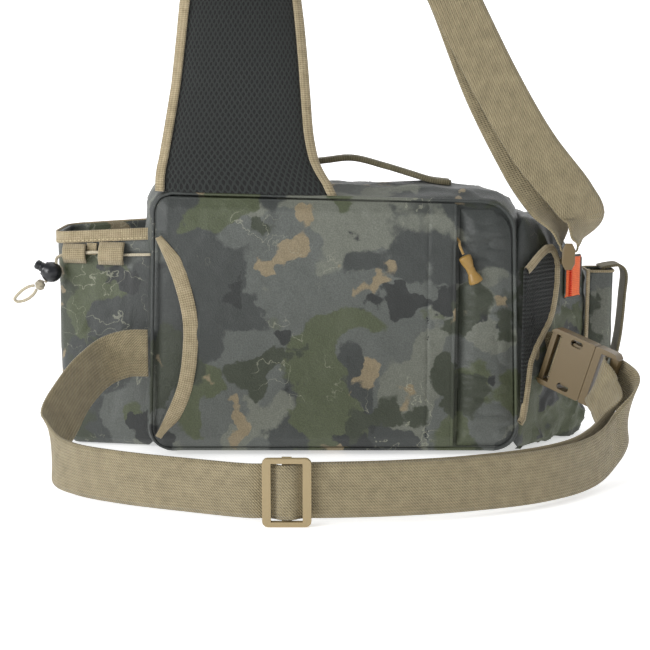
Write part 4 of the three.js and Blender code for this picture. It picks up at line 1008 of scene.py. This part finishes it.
# Shoulder pad with its bound edges: each row is x, y, z, half width and turn in degrees
PAD_ROWS = [
    (-72.5, 7.5, 225, 75, 0), (-76.4, 7, 239, 69.5, 0), (-77.8, 7, 250, 65.6, 0), (-78, 7, 270, 61.5, 0),
    (-76, 7, 309.5, 56.2, 0), (-75, 7.5, 350, 52, 6), (-74.5, 8.5, 395, 48, 20), (-73, 10, 435, 45, 38),
    (-69, 12, 475, 42.5, 57), (-60, 13.5, 508, 41, 73), (-42, 14.6, 537, 40, 84), (-15, 15, 549.5, 40, 90),
    (9, 16.5, 539, 38, 82), (25, 18.5, 516, 34, 66),
]
PAD_THICKNESS, PAD_TAPE = 11, 8


def pad_station(x, y, z, half, turn):
    lean = -0.025 if turn == 0 else 0
    return (x, y, z), (math.cos(math.radians(turn)), math.sin(math.radians(turn)), lean), half


pad_line = Ribbon([pad_station(*row) for row in PAD_ROWS], True)


def pad_frame(share):
    """The pad's line, with its foot sewn 3 mm into the seam."""
    here, across, normal, half = pad_line.frame(share)
    return here - Vector((0, 0, 3 * (1 - smooth(share / 0.02)))), across, normal, half


def pad_form(u, v):
    here, across, normal, half = pad_frame(0.996 * u)
    inner = half - PAD_TAPE + 1.5
    width = abs(4 * v - 2) - 1
    width *= 1.12 - 0.12 * width * width
    crown = math.copysign(max(1 - abs(width) ** 8, 0) ** 0.5, 0.5 - v) * (0.62 + 0.38 * (1 - abs(width) ** 3))
    end = min(1, math.sqrt((1 - u) * 60))
    dimple = 0.45 * noise.noise(here / 30 + Vector((0, 0, v * 5)))
    return here + across * width * inner + normal * (crown * PAD_THICKNESS * 0.5 * end + dimple)


pad_piece = shaped_grid("pad_mesh_cloth", (170, 96), pad_form, (pad_line.length * 0.001, 0.25), True)
dress(pad_piece, PAD_MESH, ["shoulder_pad"])


def squared(value):
    return math.copysign(abs(value) ** 0.6, value)


def pad_binding(name, side, node):
    def form(u, v):
        here, across, normal, half = pad_frame(u)
        turn = 2 * math.pi * v
        width = PAD_TAPE / 2 * squared(math.cos(turn))
        depth = 4 * squared(math.sin(turn)) * (1 - 0.35 * side * width / (PAD_TAPE / 2))
        ripple = 0.3 * math.sin(u * pad_line.length / 3.2) * (abs(width) < 3)
        return here + across * (side * (half - PAD_TAPE / 2) + width) + normal * (depth + ripple)

    piece = shaped_grid(name, (200, 20), form, (pad_line.length * 0.001, 0.026), True)
    close_ends(piece)
    dress(piece, TAPE, [node])
    for row, inset in (("edge", 2.2), ("inner", 6.6)):
        def line(t, inset=inset):
            here, across, normal, half = pad_line.frame(lerp(0.01, 0.99, t))
            return here + across * side * (half - inset) - normal * 4.3

        def facing(t):
            return -pad_line.frame(t)[2]

        stitches(f"{name}_{row}_seam", line, facing, 2.6, 3.8, 0.42, THREAD)


def close_ends(piece):
    only(piece)
    bpy.ops.object.mode_set(mode="EDIT")
    bpy.ops.mesh.select_all(action="SELECT")
    bpy.ops.mesh.fill_holes(sides=0)
    bpy.ops.object.mode_set(mode="OBJECT")


pad_binding("pad_binding_outer", -1, "pad_binding_left")
pad_binding("pad_binding_inner", 1, "pad_binding_right")

# Waist belt
CLIP_ALONG = Vector((0.75, -0.6, -0.28)).normalized()
CLIP_UP = Vector((0.25, -0.12, 0.96))
CLIP_UP = (CLIP_UP - CLIP_ALONG * CLIP_UP.dot(CLIP_ALONG)).normalized()
CLIP_FRONT = CLIP_ALONG.cross(CLIP_UP).normalized()
CLIP_ROOT = Vector((180.9, 16.5, 85.5))
UPRIGHT = (0, 0, 1)
BELT_Z = 25
LOOP_ACROSS = (0.12, 0.12, 0.98)


def clip_at(a, n):
    return CLIP_ROOT + CLIP_ALONG * a + CLIP_FRONT * n


def belt_point(along, back):
    return Vector((-34.5 + along, -181 + back, BELT_Z))


belt_outer = Ribbon([
    ((seam_x(88.5, -1) - 0.7, 3.4, 88.5), UPRIGHT), ((-172, 1, 88.5), UPRIGHT),
    ((-188, -5, 84), (-0.05, 0.05, 1)), ((-203, -25, 73), (-0.1, 0.15, 0.98)),
    ((-214, -50, 57), (-0.15, 0.3, 0.94)), ((-221, -77, 37), (-0.15, 0.35, 0.92)),
    ((-214, -104, 27), (-0.05, 0.2, 0.98)), ((-196, -124, BELT_Z), UPRIGHT), ((-160, -146, BELT_Z), UPRIGHT),
    ((-105, -167, BELT_Z), UPRIGHT), *threaded(belt_point, UPRIGHT),
    ((40, -177, BELT_Z), UPRIGHT), ((95, -166, BELT_Z), UPRIGHT), ((158, -141, BELT_Z), UPRIGHT),
    ((200, -104, BELT_Z + 1), (0.05, 0.1, 0.98)), ((222, -74, 35), (0.12, 0.25, 0.96)),
    ((235.4, -53.5, 50.6), (0.22, 0.2, 0.95)), ((239.6, -35.5, 61.4), CLIP_UP), (clip_at(67, -5.5), CLIP_UP),
    (clip_at(60, -7.6), CLIP_UP), (clip_at(54.2, -4.6), CLIP_UP),
])
strip("belt_outer_webbing", belt_outer, WEBBING_WIDTH, WEBBING, STRAP, ["waist_belt_outer"])
belt_inner = Ribbon([
    (clip_at(52.5, 0), CLIP_UP), (clip_at(53.2, 8), CLIP_UP), ((219.4, -35.5, 60.5), (0.25, 0, 0.96)),
    ((221.4, -55, 46.4), (0.2, 0.2, 0.96)), ((210, -76, 33), (0.1, 0.2, 0.97)),
    ((188, -104, BELT_Z + 1), UPRIGHT), ((154, -134, BELT_Z), UPRIGHT), ((93, -161, BELT_Z), UPRIGHT),
    ((40, -172.5, BELT_Z), UPRIGHT),
    (belt_point(26, 4), UPRIGHT), (belt_point(13, 3.2), UPRIGHT), (belt_point(3, 1.6), UPRIGHT),
])
strip("belt_inner_webbing", belt_inner, WEBBING_WIDTH, WEBBING, STRAP, ["waist_belt_inner"])
CLIP_LOOP = [
    (on_face(2, 1.4, 87), LOOP_ACROSS), (on_face(12, 1.4, 85.2), LOOP_ACROSS),
    (on_face(20, 1.4, 83.2), LOOP_ACROSS), ((180.3, 27, 81.8), (0.12, 0.12, 0.97)),
    ((185.5, 24.6, 82.6), CLIP_UP), (clip_at(5.2, -5.2), CLIP_UP), (clip_at(7.6, -3), CLIP_UP),
    (clip_at(7.8, 0), CLIP_UP),
]
strip("clip_loop_webbing", Ribbon(CLIP_LOOP), WEBBING_WIDTH, 1.8, STRAP, ["buckle_webbing_loop"])

# Bottle pocket
BOTTLE_PLAN = [(-238, 112, 14), (-237, 38, 16), (-152, 24, 2), (-152, 114, 2)]
BOTTLE_ROWS = {"height": [0, 0.035, 0.12, 1], "drawn": [8, 2, 0, 0]}
BOTTLE_MIDDLE, BOTTLE_FLOOR = (-190, 70), 0.1
# The hem tape's edges, measured from the pocket's top, and the seam's share of its width
HEM_LOW, HEM_HIGH, HEM_SEAM = -9, 1.2, 0.18


def bottle_top(x):
    return 188 + (x + 200) * 0.06


def bottle_piece():
    loops = {}

    def form(u, v):
        height = max((v - BOTTLE_FLOOR) / (1 - BOTTLE_FLOOR), 0)
        inside = min(v / BOTTLE_FLOOR, 1)
        drawn = round(float(np.interp(height, BOTTLE_ROWS["height"], BOTTLE_ROWS["drawn"])), 2)
        if drawn not in loops:
            loops[drawn] = Loop(rounded_outline(BOTTLE_PLAN, -drawn - 0.2))
        x, y = loops[drawn].at(u)
        x, y = lerp(BOTTLE_MIDDLE[0], x, inside), lerp(BOTTLE_MIDDLE[1], y, inside)
        z = lerp(1.2, bottle_top(x), height)
        free = smooth(height * 6) * smooth((1 - height) * 5) * (x < -172)
        sag = 1.7 * noise.fractal(Vector((x / 34, y / 34, z / 44)), 0.9, 2.1, 3) * free
        return x - sag * 0.6 * (x < -225), y + sag, z

    piece = shaped_grid("bottle_pocket_cloth", (180, 90), form, closed=True)
    walls(piece, 1.8, -1.0)
    dress(piece, CAMO, ["left_pocket"])
    hem_loop = Loop(rounded_outline(BOTTLE_PLAN, 0.9))

    def hem(u, v):
        x, y = hem_loop.at(u)
        return x, y, bottle_top(x) + lerp(HEM_LOW, HEM_HIGH, v)

    shares = [i / 400 for i in range(401) if hem_loop.at(i / 400)[0] < -174]
    start, end = min(shares), max(shares)
    band = shaped_grid("pocket_hem_tape", (150, 6), lambda u, v: hem(lerp(start, end, u), v),
                       ((end - start) * hem_loop.length * 0.001, 0.0102))
    walls(band, 1.2)
    dress(band, TAPE, ["pocket_hem"])

    def outward(t):
        at = Vector(hem(lerp(start, end, t), HEM_SEAM))
        return (at - Vector((-200, 75, at.z))).normalized()

    stitches("pocket_hem_seam", lambda t: Vector(hem(lerp(start, end, t), HEM_SEAM)) + outward(t) * 0.75,
             outward, 2.6, 3.6, 0.4, THREAD)


bottle_piece()


def front_wall_y(x):
    return lerp(38, 24, (x + 237) / 85)


# Each tab: its node, x at the hem and at its foot, height of the foot, width, and how far it stands off
TABS = [("pocket_tab_left", -219.8, -219.8, 161, 20, 6.4), ("pocket_tab_middle", -204.5, -205.5, 168, 9, 0),
        ("pocket_tab_right", -187, -188.5, 160, 22, 6.4)]
TAB_ACROSS = (0.986, -0.165, 0)
for node, head_x, foot_x, foot, width, stand in TABS:
    rows = []
    for down, out in ((0, 0), (0.3, 0.9), (0.7, 0.9), (1, 0)):
        tab_x = lerp(head_x, foot_x, down)
        top = bottle_top(tab_x) + HEM_LOW - width * 0.03 - 0.45
        centre = (tab_x, front_wall_y(tab_x) - 1.4 - out * stand, lerp(top, foot, down))
        rows.append((centre, TAB_ACROSS))
    strip(node + "_tape", Ribbon(rows, True), width, 1.4, TAPE, [node], (16, 8))

# Drawcord, its lock, knot and loop
CORD_RADIUS = 1.3
LOCK_CENTRE = Vector((-239.5, 29.4, 153.4))
CORD_THROUGH = Vector((0.49, 0, 0.87)).normalized()
CORD_LINE = [
    (-153.6, 21.8, 169.2), (-160.6, 23, 169), (-167.6, 24.2, 168.8), (-174, 25.2, 168.6), (-181, 26.2, 168.4),
    (-188, 27.2, 168.8), (-195, 27.6, 170), (-201, 27.5, 170.6), (-208, 28.6, 170.2), (-215, 31.3, 169.4),
    (-222, 32.8, 168.6), (-229, 33.2, 167.8), (-233.2, 32.4, 166.4), (-234.9, 31.8, 165.1),
    (-235.3, 30.4, 163.2), *(LOCK_CENTRE + CORD_THROUGH * s for s in (8.5, 3, -3, -7.5)),
    (-245.3, 28.9, 144.6),
]
tail = tube("drawcord_cord", CORD_LINE, CORD_RADIUS, CORD, ["drawcord", "drawcord_tail"], 170)
LOOP_LINE = [
    (-253.55, 27.9, 142.2), (-259, 27, 141.2), (-264.4, 26.4, 138), (-269, 26, 133.6), (-270.8, 25.8, 130.6),
    (-269, 25.8, 128.8), (-265, 25.9, 128.9), (-259.4, 26.2, 131), (-254.6, 26.9, 135),
    (-252.05, 27.6, 139.2),
]
end_loop = tube("drawcord_end_loop", LOOP_LINE, CORD_RADIUS, CORD, ["drawcord_loop"], 90)
KNOT_CENTRE, KNOT_RADIUS = Vector((-249.2, 28.2, 142.6)), 4.1


def knot_form(u, v):
    turn, lean = 2 * math.pi * u, math.pi * (v - 0.5)
    reach = KNOT_RADIUS * (1 + 0.1 * math.cos(3 * turn + 7 * lean))
    level = reach * math.cos(lean)
    return KNOT_CENTRE + Vector((level * math.cos(turn), 0.9 * level * math.sin(turn),
                                 1.05 * reach * math.sin(lean)))


knot = shaped_grid("drawcord_end_knot", (36, 24), knot_form, closed=True)
dress(knot, CORD, ["drawcord_knot"])
barrel = rounded_copy("lock_barrel", "cord_lock_barrel", 0.35, LOCK, BAG, 3)
button = rounded_copy("lock_button", "cord_lock_button", 0.35, LOCK, "cord_lock_button", 3)


def way(points, steps=60):
    centres = [Vector(p) for p in points]
    return [metres(spline(centres, i / steps)) for i in range(steps + 1)]


def length_of(path):
    return sum((b - a).length for a, b in zip(path, path[1:]))


tail_way, loop_way = way(CORD_LINE, 150), way(LOOP_LINE)
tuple(tail_way[0])
length_of(tail_way)
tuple(loop_way[0])
length_of(loop_way)

# Floor, backdrop and light
FLOOR = metres((0, 0, 0)).z - 0.0005


def stage_piece(name, size, place, turn):
    bpy.ops.object.select_all(action="DESELECT")
    bpy.ops.mesh.primitive_plane_add(size=size, location=place, rotation=turn)
    piece = bpy.context.object
    piece.name = name
    pale = Finish(name, "#FCFCFC", 0.9)
    pale.shader.inputs["Emission Color"].default_value = (1, 1, 1, 1)
    pale.shader.inputs["Emission Strength"].default_value = 0.5
    piece.data.materials.append(pale.material)


stage_piece("floor", 14, (0, 0, FLOOR), (0, 0, 0))
stage_piece("backdrop", 14, (0, 4.5, FLOOR), (math.radians(90), 0, 0))


def soft_light(name, place, aim, size, power):
    data = bpy.data.lights.new(name, "AREA")
    data.size = size
    data.energy = power
    lamp = bpy.data.objects.new(name, data)
    lamp.location = place
    lamp.rotation_euler = (Vector(aim) - Vector(place)).to_track_quat("-Z", "Y").to_euler()
    bpy.context.scene.collection.objects.link(lamp)


soft_light("key", (-1.7, -1.4, 0.3), (0, 0, -0.4), 1.1, 34)
soft_light("fill", (1.6, -1.3, 0.3), (0, 0, -0.4), 1.5, 1.5)
soft_light("top", (0.1, 0.4, 1.5), (0, 0, -0.3), 1.6, 9)
bpy.context.scene.view_settings.view_transform = "Standard"
world = bpy.data.worlds.new("studio")
bpy.context.scene.world = world
world.use_nodes = True
world.node_tree.nodes["Background"].inputs["Color"].default_value = (1, 1, 1, 1)
world.node_tree.nodes["Background"].inputs["Strength"].default_value = 0.5
